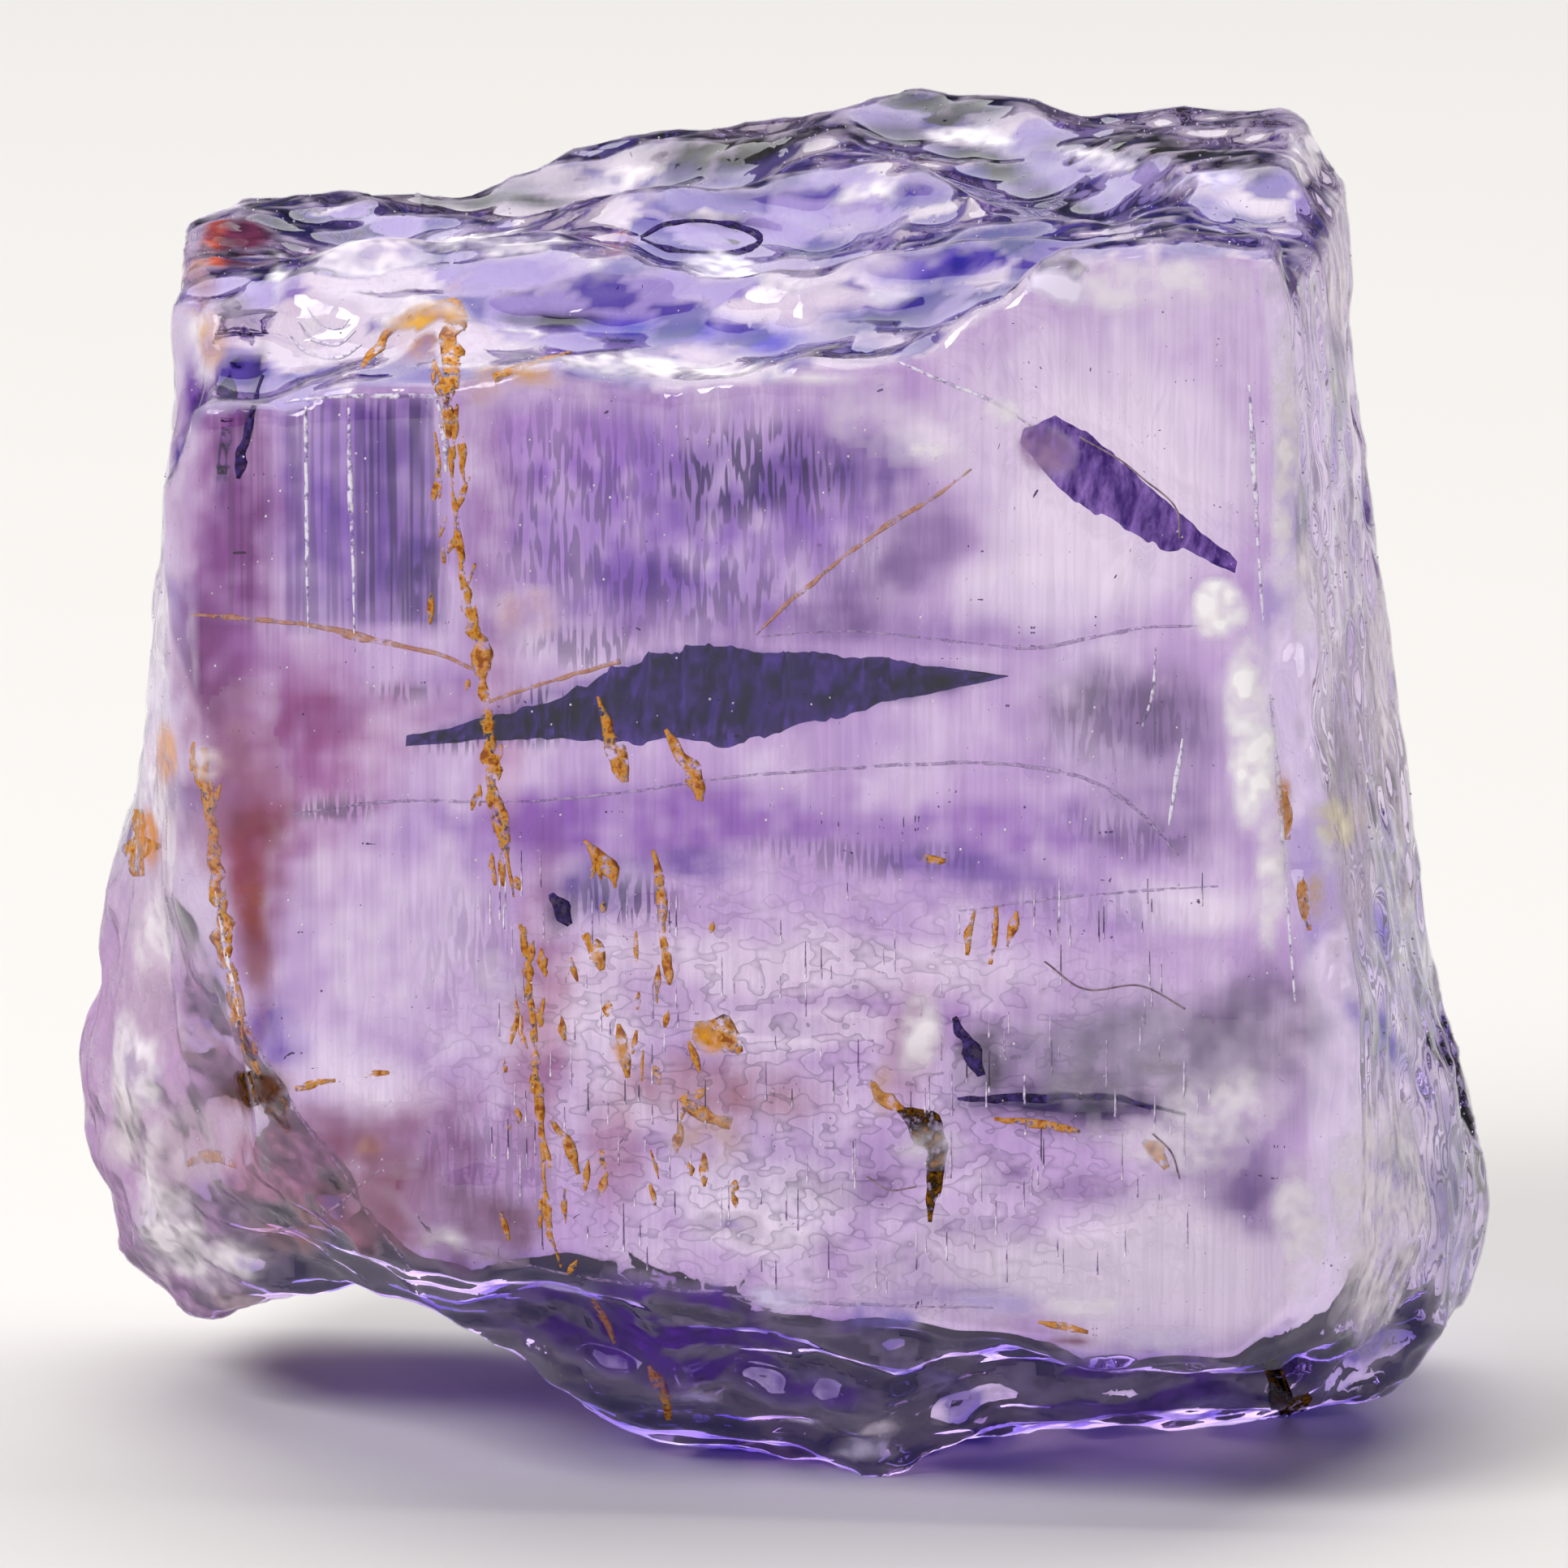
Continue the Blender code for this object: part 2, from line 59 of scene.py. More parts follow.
# The body: the grain of its mesh, how far its broken edges are worn, the places on its front that
# are worn smoother, as middle, half sizes and turn on the front, and its two prism faces
BODY_GRAIN = 0.11
WEAR_ROUNDS = 4
WEAR_SHARE = 0.5
SMOOTH_ROUNDS = 40
SMOOTH_DEPTH = 1.4
SMOOTH_PLACES = (((3.6, 12.0), (3.2, 2.2), -20), ((-1.2, 2.9), (2.8, 0.7), -8))
FRONT_Y = -4.6
BACK_Y = 4.6
REST_HEIGHT = 0.02

# The weathered film: how far its inner side clears the body, its thickness, and the least cover
# that it is made for
FILM_LIFT = 0.006
FILM_WALL = 0.01
FILM_LEAST = 0.16

# The camera, which looks along the photograph's line of sight
CAMERA_AZIMUTH = 6.0
CAMERA_ELEVATION = 10.0
CAMERA_DISTANCE = 123.87
CAMERA_AIM = (0.2, 0.0, 7.5)
CAMERA_LENS = 250.0

# Soft lights: name, place, width, height and how bright the face looks. All are aimed at one place
LIGHTS = (
    ("overhead", (0, 160, 420), 700, 500, 2.6),
    ("key", (-160, -200, 220), 160, 120, 13.0),
    ("right", (220, 20, 60), 90, 90, 3.0),
)
LIGHT_AIM = (0, 0, 7)

# The flat part of the front face, as an outline of (x, z)
FRONT_FACE = ((-5.6, 12.2), (-5.6, 8.0), (-5.0, 5.3), (-3.5, 3.2), (-1.5, 3.0), (-0.5, 2.7), (3.1, 2.2),
              (5.6, 2.0), (6.1, 3.0), (6.3, 6.3), (5.8, 9.0), (5.6, 10.6), (4.9, 11.1), (4.1, 11.75),
              (3.0, 12.4), (1.9, 12.95), (0.5, 12.8), (-0.6, 12.55), (-2.0, 12.7), (-3.1, 12.45),
              (-4.9, 12.4))

# The back face, whose ledges and bowls are also eased: over what depth behind the front and the
# back plane that fades out, how much of the ledges is kept, and how much of what is deeper
BACK_FACE = ((5.6, 14.0), (0.5, 14.0), (-2.5, 13.5), (-6.3, 13.0), (-6.6, 8.0), (-7.2, 3.5), (-6.8, 1.8),
             (-2.0, 1.6), (0.0, 1.0), (6.0, 1.2), (6.8, 3.0), (6.1, 9.0))
FRONT_EASED = (0.55, 0.9)
BACK_EASED = (1.6, 2.4)
LEDGES_KEPT = 0.04
DEEPER_KEPT = 0.5
LEDGE_DEPTH = 0.3
HOLLOW = ((4.6, 5.7), (2.0, 1.5), 20)
HOLLOW_KEPT = 0.6

# Level ledges across the front face, as (x, z) from left to right, with the height of each step
LEDGES = (
    (0.018, ((0.4, 9.95), (1.4, 10.02), (2.8, 9.91), (3.5, 9.88), (4.5, 10.1), (5.4, 10.15))),
    (0.024, ((-4.8, 7.86), (-3.7, 8.02), (-1.2, 8.15), (1.7, 8.52), (3.0, 8.58), (3.9, 8.45), (4.6, 8.1),
             (5.1, 7.6))),
    (0.018, ((2.6, 6.94), (3.7, 7.1), (4.6, 7.2), (5.9, 7.37))),
    (0.020, ((-4.6, 4.85), (-3.7, 5.04), (-2.2, 5.21))),
    (0.020, ((2.6, 4.94), (3.7, 4.88), (4.6, 4.94), (5.4, 4.65))),
)

# Relief in millimetres, as a height and the size of its waves along x, y and z. Striations run
# upright, etched steps lie level, and broken surfaces are bowls and chips that meet in ridges
STRIA_SIZE = (0.14, 1.2, 1.6)
BROAD_STRIA_SIZE = (0.4, 1.2, 3.5)
FRONT_STRIA = 0.008
DENSE_STRIA = 0.018
BACK_STRIA = 0.03
LEDGE_FADE = 0.5
STEP_SIZE = (0.8, 1.0, 0.45)
FINE_STEP_SIZE = (0.3, 1.0, 0.22)
STEPS = 2.5
STEP_HEIGHT = 0.06
BOWL_SIZE = (1.5, 1.3, 0.9)
BOWL_HEIGHT = 0.22
CHIP_SIZE = (0.7, 0.5, 0.35)
CHIP_HEIGHT = 0.12
SIDE_SIZE = (0.7, 0.7, 1.1)
SIDE_HEIGHT = 0.05
FINE_SIDE_SIZE = (0.25, 0.25, 0.5)
FINE_SIDE_HEIGHT = 0.03
LOBE_LUMP_SIZE = 0.7
LOBE_HEIGHT = 0.10

# The film's own colour where nothing stains it
FILM_SHADE = "#D6C8DE"
LOBE_SHADE = "#C6A4CC"

# The colour seen through the crystal where nothing stains it, through the front's usual haze, along the
# far rim of the top, where navy is painted as its dark reflections, and through stained surfaces: bowls
# and chips in what is broken, the underside, the sides, the lobe and the back
CLEAR_SEEN = "#DACCE8"
FRONT_SEEN = "#B294CC"
FAR_RIM_DARK_REFLECTION = "#3A2A6C"
BOWLS_SEEN = "#7A60C8"
CHIPS_SEEN = "#5238AC"
UNDERSIDE_SEEN = "#9A70D0"
SIDES_SEEN = "#8C74BC"
LOBE_SEEN = "#C8A8C4"
BACK_SEEN = "#B098D0"

# What each crossing of the surface lets through of red, green and blue before any stain
EVERYWHERE = (0.985, 0.945, 1.0)

# Soft ovals of colour as the camera sees them: x and z of the middle, half the width and height,
# the colour, its strength and, where it leans, its turn in degrees
TINTS = (
    # The lilac lower left of the face and the etched field beside it
    (-3.65, 6.4, 1.9, 1.9, "#B89CD0", 0.6),
    (0.4, 5.9, 3.6, 1.0, "#BEA4CC", 0.5),
    (-0.5, 11.2, 3.0, 1.9, "#B49AD2", 0.5),
    # The mauve left side, with a reddish haze and one deep violet spot in it
    (-5.53, 10.95, 0.8, 2.95, "#AA6EB0", 0.85),
    (-5.71, 8.54, 0.54, 2.05, "#A36C9C", 0.7),
    (-4.81, 8.36, 1.34, 1.7, "#B371A6", 0.7),
    (-5.17, 7.38, 0.54, 1.43, "#A44F6D", 0.85, 4),
    (-4.01, 8.89, 1.52, 0.54, "#B987B1", 0.5, 4),
    (-4.95, 5.41, 0.38, 0.54, "#5B22AF", 0.95, 30),
    (-5.17, 6.3, 0.27, 0.71, "#97405B", 0.6, 10),
    (-6.33, 7.2, 0.45, 1.79, "#AF88AF", 0.6),
    # The striated window, darker at its right end
    (-3.92, 11.3, 1.03, 1.34, "#AF7DE5", 0.38),
    (-3.52, 10.68, 0.45, 0.44, "#6A44AD", 0.36),
    (-4.37, 11.48, 0.2, 1.25, "#9168D2", 0.23),
    (-4.9, 11.48, 0.22, 1.25, "#9D69CB", 0.23),
    # The field of dashes and the grey places in it
    (-0.53, 11.21, 2.5, 1.52, "#B897E1", 0.8),
    (0.1, 11.57, 0.98, 0.62, "#876DB3", 0.7),
    (1.44, 11.84, 0.89, 0.54, "#8F79B6", 0.7),
    (-0.62, 10.59, 1.43, 0.54, "#9D7FCC", 0.6),
    (1.97, 10.86, 0.98, 0.67, "#9885B0", 0.7, 30),
    (1.35, 10.14, 0.62, 0.31, "#A38CB6", 0.6),
    (-1.69, 12.02, 0.98, 0.54, "#CEA6ED", 0.5),
    # The band round the lens and the grey place to its right
    (0.1, 10.05, 4.29, 0.36, "#A991C5", 0.6),
    (4.47, 9.07, 1.25, 0.85, "#9588A7", 0.75),
    (3.94, 9.38, 0.45, 0.36, "#776A8B", 0.7),
    (4.74, 8.0, 0.98, 0.54, "#9F90B6", 0.6),
    (-2.58, 9.16, 1.52, 0.45, "#AA84BF", 0.6, 4),
    # A painted shadow band under the long ledge, and the dark etched corner beside the vein
    (-1.15, 7.82, 3.75, 0.54, "#9F72C5", 0.85, 3),
    (3.22, 7.82, 2.05, 0.49, "#A882CC", 0.7, -3),
    (-1.42, 7.06, 0.71, 0.45, "#5E45A0", 0.85),
    (-1.78, 6.79, 0.21, 0.27, "#2D1D62", 0.9),
    (-0.35, 7.38, 0.89, 0.23, "#7B5DB4", 0.7),
    (2.6, 7.42, 1.43, 0.27, "#8C6FC0", 0.7, -6),
    (3.67, 7.02, 1.79, 0.36, "#A88CCD", 0.5, -4),
    # The cloudy hollow low on the right
    (4.56, 5.32, 2.14, 0.89, "#857D98", 0.9, 8),
    (2.87, 5.32, 0.43, 0.54, "#50495F", 0.85),
    (3.76, 4.79, 1.43, 0.18, "#5A537F", 0.85),
    (5.99, 5.5, 0.89, 1.16, "#968BA6", 0.75),
    (5.63, 4.07, 1.07, 0.62, "#8B78A6", 0.75, -30),
    (5.01, 5.86, 1.43, 0.27, "#A49AB5", 0.4, 10),
    # The vein's brownish borders and the brown places low on the left
    (-2.58, 11.12, 0.45, 2.32, "#B083B8", 0.5),
    (-2.0, 5.77, 0.49, 2.41, "#AD7BA0", 0.75, -2),
    (-2.4, 8.8, 0.36, 1.61, "#B47DA4", 0.6),
    (-4.01, 3.8, 1.16, 0.8, "#905568", 0.85, -40),
    (-3.12, 4.34, 0.89, 0.8, "#A3789F", 0.7),
    (-2.67, 3.36, 0.8, 0.54, "#86657B", 0.7),
    (-0.08, 4.88, 1.52, 0.54, "#B68D8D", 0.65),
    (-1.15, 4.34, 0.54, 0.98, "#B18096", 0.6),
    (2.06, 5.41, 0.45, 0.8, "#BEA2AD", 0.6),
    (0.99, 4.16, 1.79, 0.54, "#AC95C1", 0.5),
    # The foot's front and the lower edge
    (-1.69, 2.55, 1.79, 0.4, "#5D40A6", 0.51, -14),
    (-0.35, 1.93, 2.32, 0.43, "#4F32AC", 0.54, -10),
    (1.79, 1.66, 1.07, 0.43, "#4B2AAC", 0.51),
    (4.12, 1.84, 1.79, 0.4, "#684AB7", 0.45),
    (7.24, 1.66, 1.16, 0.27, "#482F7B", 0.51, 20),
    (2.6, 2.64, 1.07, 0.16, "#5B41B4", 0.42),
    (6.26, 2.2, 0.8, 0.32, "#7862AA", 0.36),
    # The broken top: navy along its far rim, painted as the dark reflections it shows, and blue-violet in its
    # bowls
    (0.1, 15.32, 1.34, 0.25, "#120738", 0.97, 10),
    (1.71, 15.46, 0.8, 0.16, "#190D3E", 0.95),
    (4.56, 15.37, 1.25, 0.18, "#0C0723", 0.97, -4),
    (-2.94, 14.7, 1.96, 0.12, "#231744", 0.9),
    (5.63, 15.19, 0.54, 0.21, "#190D3E", 0.9),
    (3.13, 15.05, 1.16, 0.23, "#241560", 0.95, -24),
    (0.54, 14.96, 0.8, 0.23, "#351E8D", 0.95, 20),
    (-0.62, 14.92, 0.8, 0.16, "#241467", 0.9, 14),
    (2.6, 14.16, 1.34, 0.32, "#4E30BC", 0.95, 15),
    (5.01, 14.61, 0.98, 0.3, "#5D43BF", 0.9),
    (4.03, 14.61, 0.62, 0.18, "#2E1C77", 0.9, -20),
    (-0.08, 13.27, 2.05, 0.25, "#4423D2", 0.97, -2),
    (1.53, 13.49, 0.62, 0.21, "#331BA2", 0.9),
    (-1.87, 13.43, 0.71, 0.13, "#1C1049", 0.95),
    (2.33, 13.89, 0.62, 0.2, "#4026AF", 0.9, 30),
    (-0.08, 14.47, 0.71, 0.11, "#321F6B", 0.8),
    (1.17, 14.16, 0.54, 0.18, "#6649BC", 0.7, -20),
    # The left corner
    (-5.26, 14.16, 0.45, 0.27, "#AD4B66", 0.85),
    (-5.71, 13.89, 0.23, 0.36, "#BE6D5E", 0.7),
    (-5.39, 13.52, 0.25, 0.16, "#4C222E", 0.95),
    (-5.81, 12.64, 0.2, 0.54, "#6F2FB4", 0.85),
    (-5.15, 12.55, 0.12, 0.8, "#352657", 0.95, -12),
    (-4.54, 13.89, 0.45, 0.54, "#BA97C0", 0.5),
    # Small dark places on the right side
    (6.79, 8.54, 0.2, 0.54, "#3B2E6B", 0.85),
    (7.15, 6.75, 0.23, 0.54, "#6E52C4", 0.8),
    (7.24, 5.59, 0.23, 0.8, "#5338B5", 0.85, 40),
    (6.71, 12.82, 0.14, 0.89, "#5C4D85", 0.8),
    (6.35, 11.3, 0.12, 0.54, "#4D3F7C", 0.7),
    (7.42, 4.34, 0.27, 0.54, "#6C58A5", 0.7, -20),
    (8.04, 3.45, 0.4, 1.25, "#8475B0", 0.8),
    (6.88, 10.05, 0.18, 0.45, "#8D74BF", 0.7),
    # The weathered lobe
    (-5.71, 3.98, 1.07, 0.98, "#BA94BA", 0.8),
    (-6.24, 4.96, 0.62, 0.8, "#BC98C5", 0.7),
    (-5.26, 4.79, 0.54, 0.36, "#94593E", 0.8),
    (-4.99, 3.45, 0.62, 0.45, "#A4658D", 0.8, -30),
    (-5.88, 2.55, 0.71, 0.27, "#B18DBD", 0.7),
)

# The weathered film in the same form: the two whitest places, milky wear on the right edge painted
# whitest as highlights; the other milky places without their colour, some of them painted highlights
# as marked; and the stained ones, with painted highlights among them
WHITEST_HIGHLIGHTS = (
    (5.43, 10.32, 0.4, 0.36, "#FBF6FA", 2.0),
    (5.77, 8.98, 0.36, 1.2, "#FBF6FA", 1.6),
)
MILKY_AND_HIGHLIGHT_WHITE = "#F5EDF4"
MILKY_AND_HIGHLIGHT_PLACES = (
    (6.12, 11.84, 0.18, 1.88, 1.05),
    (5.99, 7.46, 0.23, 1.07, 0.9),
    (7.24, 9.7, 0.21, 1.52, 0.9),
    (6.71, 7.82, 0.36, 0.62, 0.9),
    (6.35, 10.59, 0.18, 0.71, 1.05),
    (7.24, 3.62, 0.62, 2.05, 0.75),
    (6.35, 3.45, 0.36, 0.98, 0.68),
    (6.35, 15.32, 0.27, 0.36, 1.2),
    (6.71, 14.16, 0.18, 1.07, 0.9),
    (-6.15, 3.54, 0.38, 0.98, 1.42),
    (-6.51, 4.96, 0.36, 0.71, 1.05),
    (-5.62, 2.82, 0.62, 0.45, 0.9),
    (-4.99, 4.07, 0.89, 0.54, 0.52),
    (-6.29, 6.3, 0.32, 0.98, 0.6),
    (-6.24, 8.27, 0.2, 0.8, 0.75),
    # Painted highlights: white flashes of light on the broken top and along the front's top edge
    (-2.4, 14.21, 0.98, 0.23, 1.5, -4),
    (-3.92, 13.89, 0.8, 0.62, 1.05),
    (-4.46, 13.27, 0.36, 0.36, 0.9),
    (-1.69, 14.07, 0.54, 0.18, 1.35),
    (-5.62, 14.5, 0.45, 0.14, 1.35, 10),
    (-4.86, 13.76, 0.14, 0.3, 1.35),
    (-5.71, 13.09, 0.21, 0.54, 0.9),
    (-0.79, 12.87, 2.95, 0.11, 1.2, -2),
    (2.69, 15.46, 0.54, 0.14, 1.5),
    (0.72, 13.89, 0.8, 0.23, 0.83),
    (1.53, 14.7, 0.54, 0.3, 0.9, 30),
    (-1.15, 15.01, 0.54, 0.18, 0.9, 20),
    (4.03, 15.23, 0.62, 0.14, 1.05, -10),
    (4.56, 13.89, 1.43, 0.36, 0.52),
    (-2.4, 13.09, 0.62, 0.36, 0.9),
    (-3.29, 13.45, 0.54, 0.36, 0.9),
    (1.88, 12.2, 1.07, 0.54, 0.3, -30),
    (2.24, 12.02, 0.27, 0.14, 1.05),
    (3.04, 12.46, 0.27, 0.18, 0.9),
    # Milky wear on the front
    (4.38, 5.14, 1.07, 0.21, 0.75, 10),
    (5.46, 4.79, 0.8, 0.62, 0.52),
    (4.83, 4.34, 1.16, 0.36, 0.45, -10),
    (2.15, 5.59, 0.3, 0.62, 0.75),
    (-2.13, 10.19, 0.49, 0.4, 0.52),
    # Painted highlights on the glassy facets of the bottom
    (0.63, 1.66, 0.45, 0.18, 0.9),
    (1.53, 1.12, 0.54, 0.16, 0.75),
    (-0.44, 1.48, 0.27, 0.14, 0.75),
    (-1.15, 2.38, 0.27, 0.09, 0.75),
    (-3.12, 3.09, 0.36, 0.21, 0.75),
    (4.03, 2.55, 0.8, 0.18, 0.45),
    # Milky wear on the front and the left edge
    (-2.58, 6.12, 0.54, 0.54, 0.22),
    (-5.71, 8.45, 0.27, 0.27, 0.75),
    (2.33, 4.34, 0.54, 0.27, 0.45),
)
FILM_STAINS_AND_HIGHLIGHTS = (
    # The reddish haze and the orange places along the left edge
    (-5.21, 7.11, 0.32, 1.52, "#A05A40", 0.5, 4),
    (-5.35, 8.0, 0.62, 1.79, "#A8647E", 0.35),
    (-6.38, 7.55, 0.16, 0.38, "#E09A50", 0.8),
    (-6.15, 8.54, 0.14, 0.45, "#E8B898", 0.6),
    # The left corner's red, peach and cream patches
    (-5.54, 14.16, 0.2, 0.23, "#C8604A", 0.9),
    (-5.75, 13.76, 0.2, 0.36, "#E0A890", 0.8),
    (-5.6, 13.13, 0.2, 0.36, "#E2BC9C", 0.8),
    (-5.21, 14.16, 0.39, 0.2, "#7A3A58", 0.7),
    (-4.86, 13.79, 0.12, 0.23, "#FBF8FC", 1.0),
    (-1.2, 14.16, 0.2, 0.11, "#B05060", 0.9),
    # Golden stains where the vein meets the top
    (-3.29, 13.27, 0.54, 0.27, "#D8A24C", 0.6, 30),
    (-2.94, 13.71, 0.2, 0.12, "#E8B050", 0.9),
    (-2.22, 12.8, 0.62, 0.14, "#D8A868", 0.55, -8),
    (-2.58, 12.64, 0.36, 0.27, "#CFA468", 0.4),
    # The weathered lobe, pinkish with brown stains
    (-5.26, 4.79, 0.54, 0.32, "#6A4030", 0.6),
    (-5.71, 5.32, 0.54, 0.27, "#B89CB0", 0.6),
    (-4.99, 3.98, 0.89, 0.62, "#C096B0", 0.7),
    (-4.1, 3.45, 0.89, 0.45, "#B88498", 0.65, -30),
    (-3.65, 4.25, 0.54, 0.54, "#AC82A0", 0.5),
    (-4.81, 3.22, 0.54, 0.36, "#D0A8A8", 0.5),
    (-4.01, 4.16, 0.27, 0.14, "#E0B088", 0.5),
    (-5.88, 3.98, 0.54, 0.8, "#CDBACB", 0.7),
    (-6.33, 5.68, 0.36, 0.54, "#C4A8C4", 0.6),
    (-5.53, 2.38, 0.54, 0.14, "#DCC8D0", 0.8),
    (-6.6, 4.34, 0.2, 0.54, "#E4D8E0", 0.8),
    (-5.26, 5.41, 0.32, 0.8, "#AE86AE", 0.55, -30),
    (-4.46, 4.16, 0.54, 0.54, "#A880A2", 0.6, -40),
    (-3.74, 3.36, 0.8, 0.36, "#A07A90", 0.6, -40),
    (-2.94, 2.91, 0.45, 0.21, "#8C6C96", 0.5, -30),
    # The right side
    (6.88, 7.91, 0.27, 2.86, "#DCCCE0", 0.45),
    (6.15, 8.31, 0.12, 0.38, "#D8A070", 0.6),
    (6.53, 7.15, 0.14, 0.36, "#D8B890", 0.5),
    (6.71, 8.0, 0.27, 0.36, "#EADFCB", 0.7),
    # Rust along the bottom, and pale facets there whose light colour is painted highlight
    (-0.62, 1.75, 0.12, 0.45, "#9A5A3A", 0.6),
    (6.17, 1.3, 0.21, 0.14, "#6A3030", 0.7),
    (3.85, 2.18, 0.54, 0.07, "#8A5A70", 0.6),
    (1.26, 1.21, 0.36, 0.25, "#6C7668", 0.7),
    (0.99, 1.75, 0.45, 0.21, "#C8BCE8", 0.7),
    (1.62, 0.84, 0.45, 0.14, "#E0D8F0", 0.8),
    (0.1, 2.2, 0.36, 0.18, "#8C78C8", 0.5),
    # Painted highlights, white flashes of light, and violet films on the broken top and bottom
    (3.67, 13.83, 0.39, 0.23, "#E4DAF0", 1.5),
    (3.13, 15.32, 0.45, 0.14, "#F4F0FA", 1.4, -20),
    (5.28, 14.96, 0.54, 0.18, "#D9D0EE", 1.2, 10),
    (1.08, 15.01, 0.45, 0.16, "#CFC4E6", 1.0, 20),
    (1.88, 13.76, 0.54, 0.12, "#E8E0F4", 1.3, 10),
    (0.1, 13.98, 0.54, 0.2, "#EFE8F8", 1.4),
    (-3.65, 14.16, 0.36, 0.18, "#EDE0EC", 1.0),
    (3.54, 12.06, 0.46, 0.3, "#A684AE", 0.9, -20),
    (-0.35, 2.02, 2.86, 0.8, "#6A42AE", 0.7, -8),
    (4.12, 1.66, 2.32, 0.41, "#7250B4", 0.65),
    (1.71, 2.38, 0.54, 0.23, "#8E80D0", 0.8),
    (0.63, 2.55, 0.45, 0.12, "#D8CCF0", 1.2),
    (3.04, 2.55, 0.62, 0.14, "#C4B4E4", 0.9),
    (-1.69, 2.64, 0.45, 0.11, "#C8BCE0", 0.9, -10),
    (-0.26, 1.39, 0.27, 0.09, "#C8BCE8", 1.0),
    (0.81, 1.12, 0.23, 0.09, "#E8E0FA", 1.4),
    (2.33, 1.57, 0.36, 0.12, "#A898D8", 0.8, 30),
    (4.92, 2.2, 0.71, 0.12, "#D4C6E4", 0.9),
    (-2.4, 2.91, 0.54, 0.12, "#B49CB8", 0.9, -20),
    (5.46, 1.48, 0.62, 0.09, "#8474B4", 0.8),
    (7.15, 2.2, 0.36, 0.12, "#BCB0DC", 0.9, 30),
    # Warm and pale places on the front face
    (-2.13, 10.19, 0.48, 0.38, "#D8B4C4", 0.6),
    (4.38, 5.14, 1.07, 0.21, "#B8A8C0", 0.6, 8),
    (-0.08, 5.46, 0.27, 0.18, "#E8A030", 1.0),
    (-1.15, 5.32, 0.14, 0.14, "#E0A050", 0.7),
    (-0.08, 4.34, 0.62, 0.36, "#C8A070", 0.4),
    (1.79, 4.96, 0.18, 0.39, "#D8B078", 0.5),
    (4.56, 5.32, 1.79, 0.71, "#8E8898", 0.35, 8),
)

# Clear windows, where the front's haze is thin: middle, half sizes and turn
CLEAR = (
    (4.12, 11.84, 2.05, 1.7, -20),
    (3.67, 10.59, 1.52, 0.62, 10),
    (1.08, 6.3, 2.95, 0.45),
    (-3.65, 6.57, 1.25, 1.43),
    (-1.69, 5.68, 1.07, 0.8),
    (0.46, 3.54, 1.07, 0.8),
    (5.01, 2.91, 1.79, 1.16),
    (3.49, 3.0, 1.07, 0.54),
    (0.99, 5.59, 1.25, 0.27),
    (2.15, 12.11, 0.54, 0.27),
    (-4.01, 4.96, 0.98, 0.54, -30),
    (5.01, 7.02, 1.07, 0.36),
)

# Where painted shade shows as short dark upright marks between the striations: middle, half sizes, strength,
# turn
SHADED_DASHES = (
    (0.2, 11.65, 1.5, 0.85, 1.0),
    (-1.7, 11.3, 1.2, 1.5, 0.75),
    (-0.2, 10.45, 1.8, 0.7, 0.75),
    (-0.5, 11.1, 3.3, 2.2, 0.45),
    (-2.9, 8.74, 0.8, 0.16, 1.0, 4),
    (-1.8, 9.05, 0.8, 0.4, 1.0, 6),
    (-1.5, 9.8, 1.0, 0.35, 0.8),
    (-4.3, 7.95, 0.7, 0.2, 0.9, 5),
    (-3.5, 9.25, 0.6, 0.14, 0.8),
    (-3.4, 10.6, 0.5, 0.9, 0.7),
    (4.4, 9.1, 1.3, 0.7, 0.55),
    (1.6, 7.5, 1.9, 0.28, 0.7, -4),
    (-1.1, 6.9, 0.9, 0.4, 0.9),
    (4.5, 7.8, 1.0, 0.35, 0.6, -10),
    (-2.9, 6.4, 0.9, 0.9, 0.45),
    (3.9, 7.0, 1.9, 0.3, 0.4, -4),
    (-2.6, 4.0, 1.2, 1.0, 0.5, -30),
)

# Places with a plain outline of (x, z): the colour seen, its strength and how soft its edge is
OUTLINED = (
    (((-4.86, 12.5), (-3.2, 12.55), (-3.07, 10.0), (-4.81, 9.95)), "#9A80C4", 0.6, 0.05),
    (((-3.9, 12.4), (-3.2, 12.5), (-3.1, 9.97), (-4.0, 10.2)), "#7A60A8", 0.4, 0.15),
    (((-5.7, 12.3), (-5.0, 12.4), (-4.95, 9.9), (-5.8, 9.9)), "#A070AA", 0.5, 0.1),
    # Painted dark reflection: the lens's outline and its darkest right end
    (((-3.5, 8.72), (-1.14, 9.62), (-0.25, 9.86), (3.13, 9.56), (1.0, 9.0), (-1.0, 8.78)), "#6A52B0", 0.5,
     0.06),
    (((1.9, 9.62), (3.15, 9.58), (2.6, 9.38), (1.8, 9.25)), "#2A1C60", 0.5, 0.1),
)


def linear(hex_colour):
    """An sRGB hex colour as linear red, green, blue and alpha."""
    parts = [int(hex_colour[place:place + 2], 16) / 255 for place in (1, 3, 5)]
    return tuple(p / 12.92 if p <= 0.04045 else ((p + 0.055) / 1.055) ** 2.4 for p in parts) + (1.0,)


def add_node(tree, kind, settings=None, links=None):
    """Adds a node. Settings name its properties or its inputs, and links name what its inputs read."""
    made = tree.nodes.new(kind)
    for name, value in (settings or {}).items():
        if isinstance(name, str) and hasattr(made, name):
            setattr(made, name, value)
        else:
            made.inputs[name].default_value = value
    for name, source in (links or {}).items():
        tree.links.new(source, made.inputs[name])
    return made


def add_object(name, data):
    """An object in the scene that shows the data."""
    made = bpy.data.objects.new(name, data)
    bpy.context.scene.collection.objects.link(made)
    return made


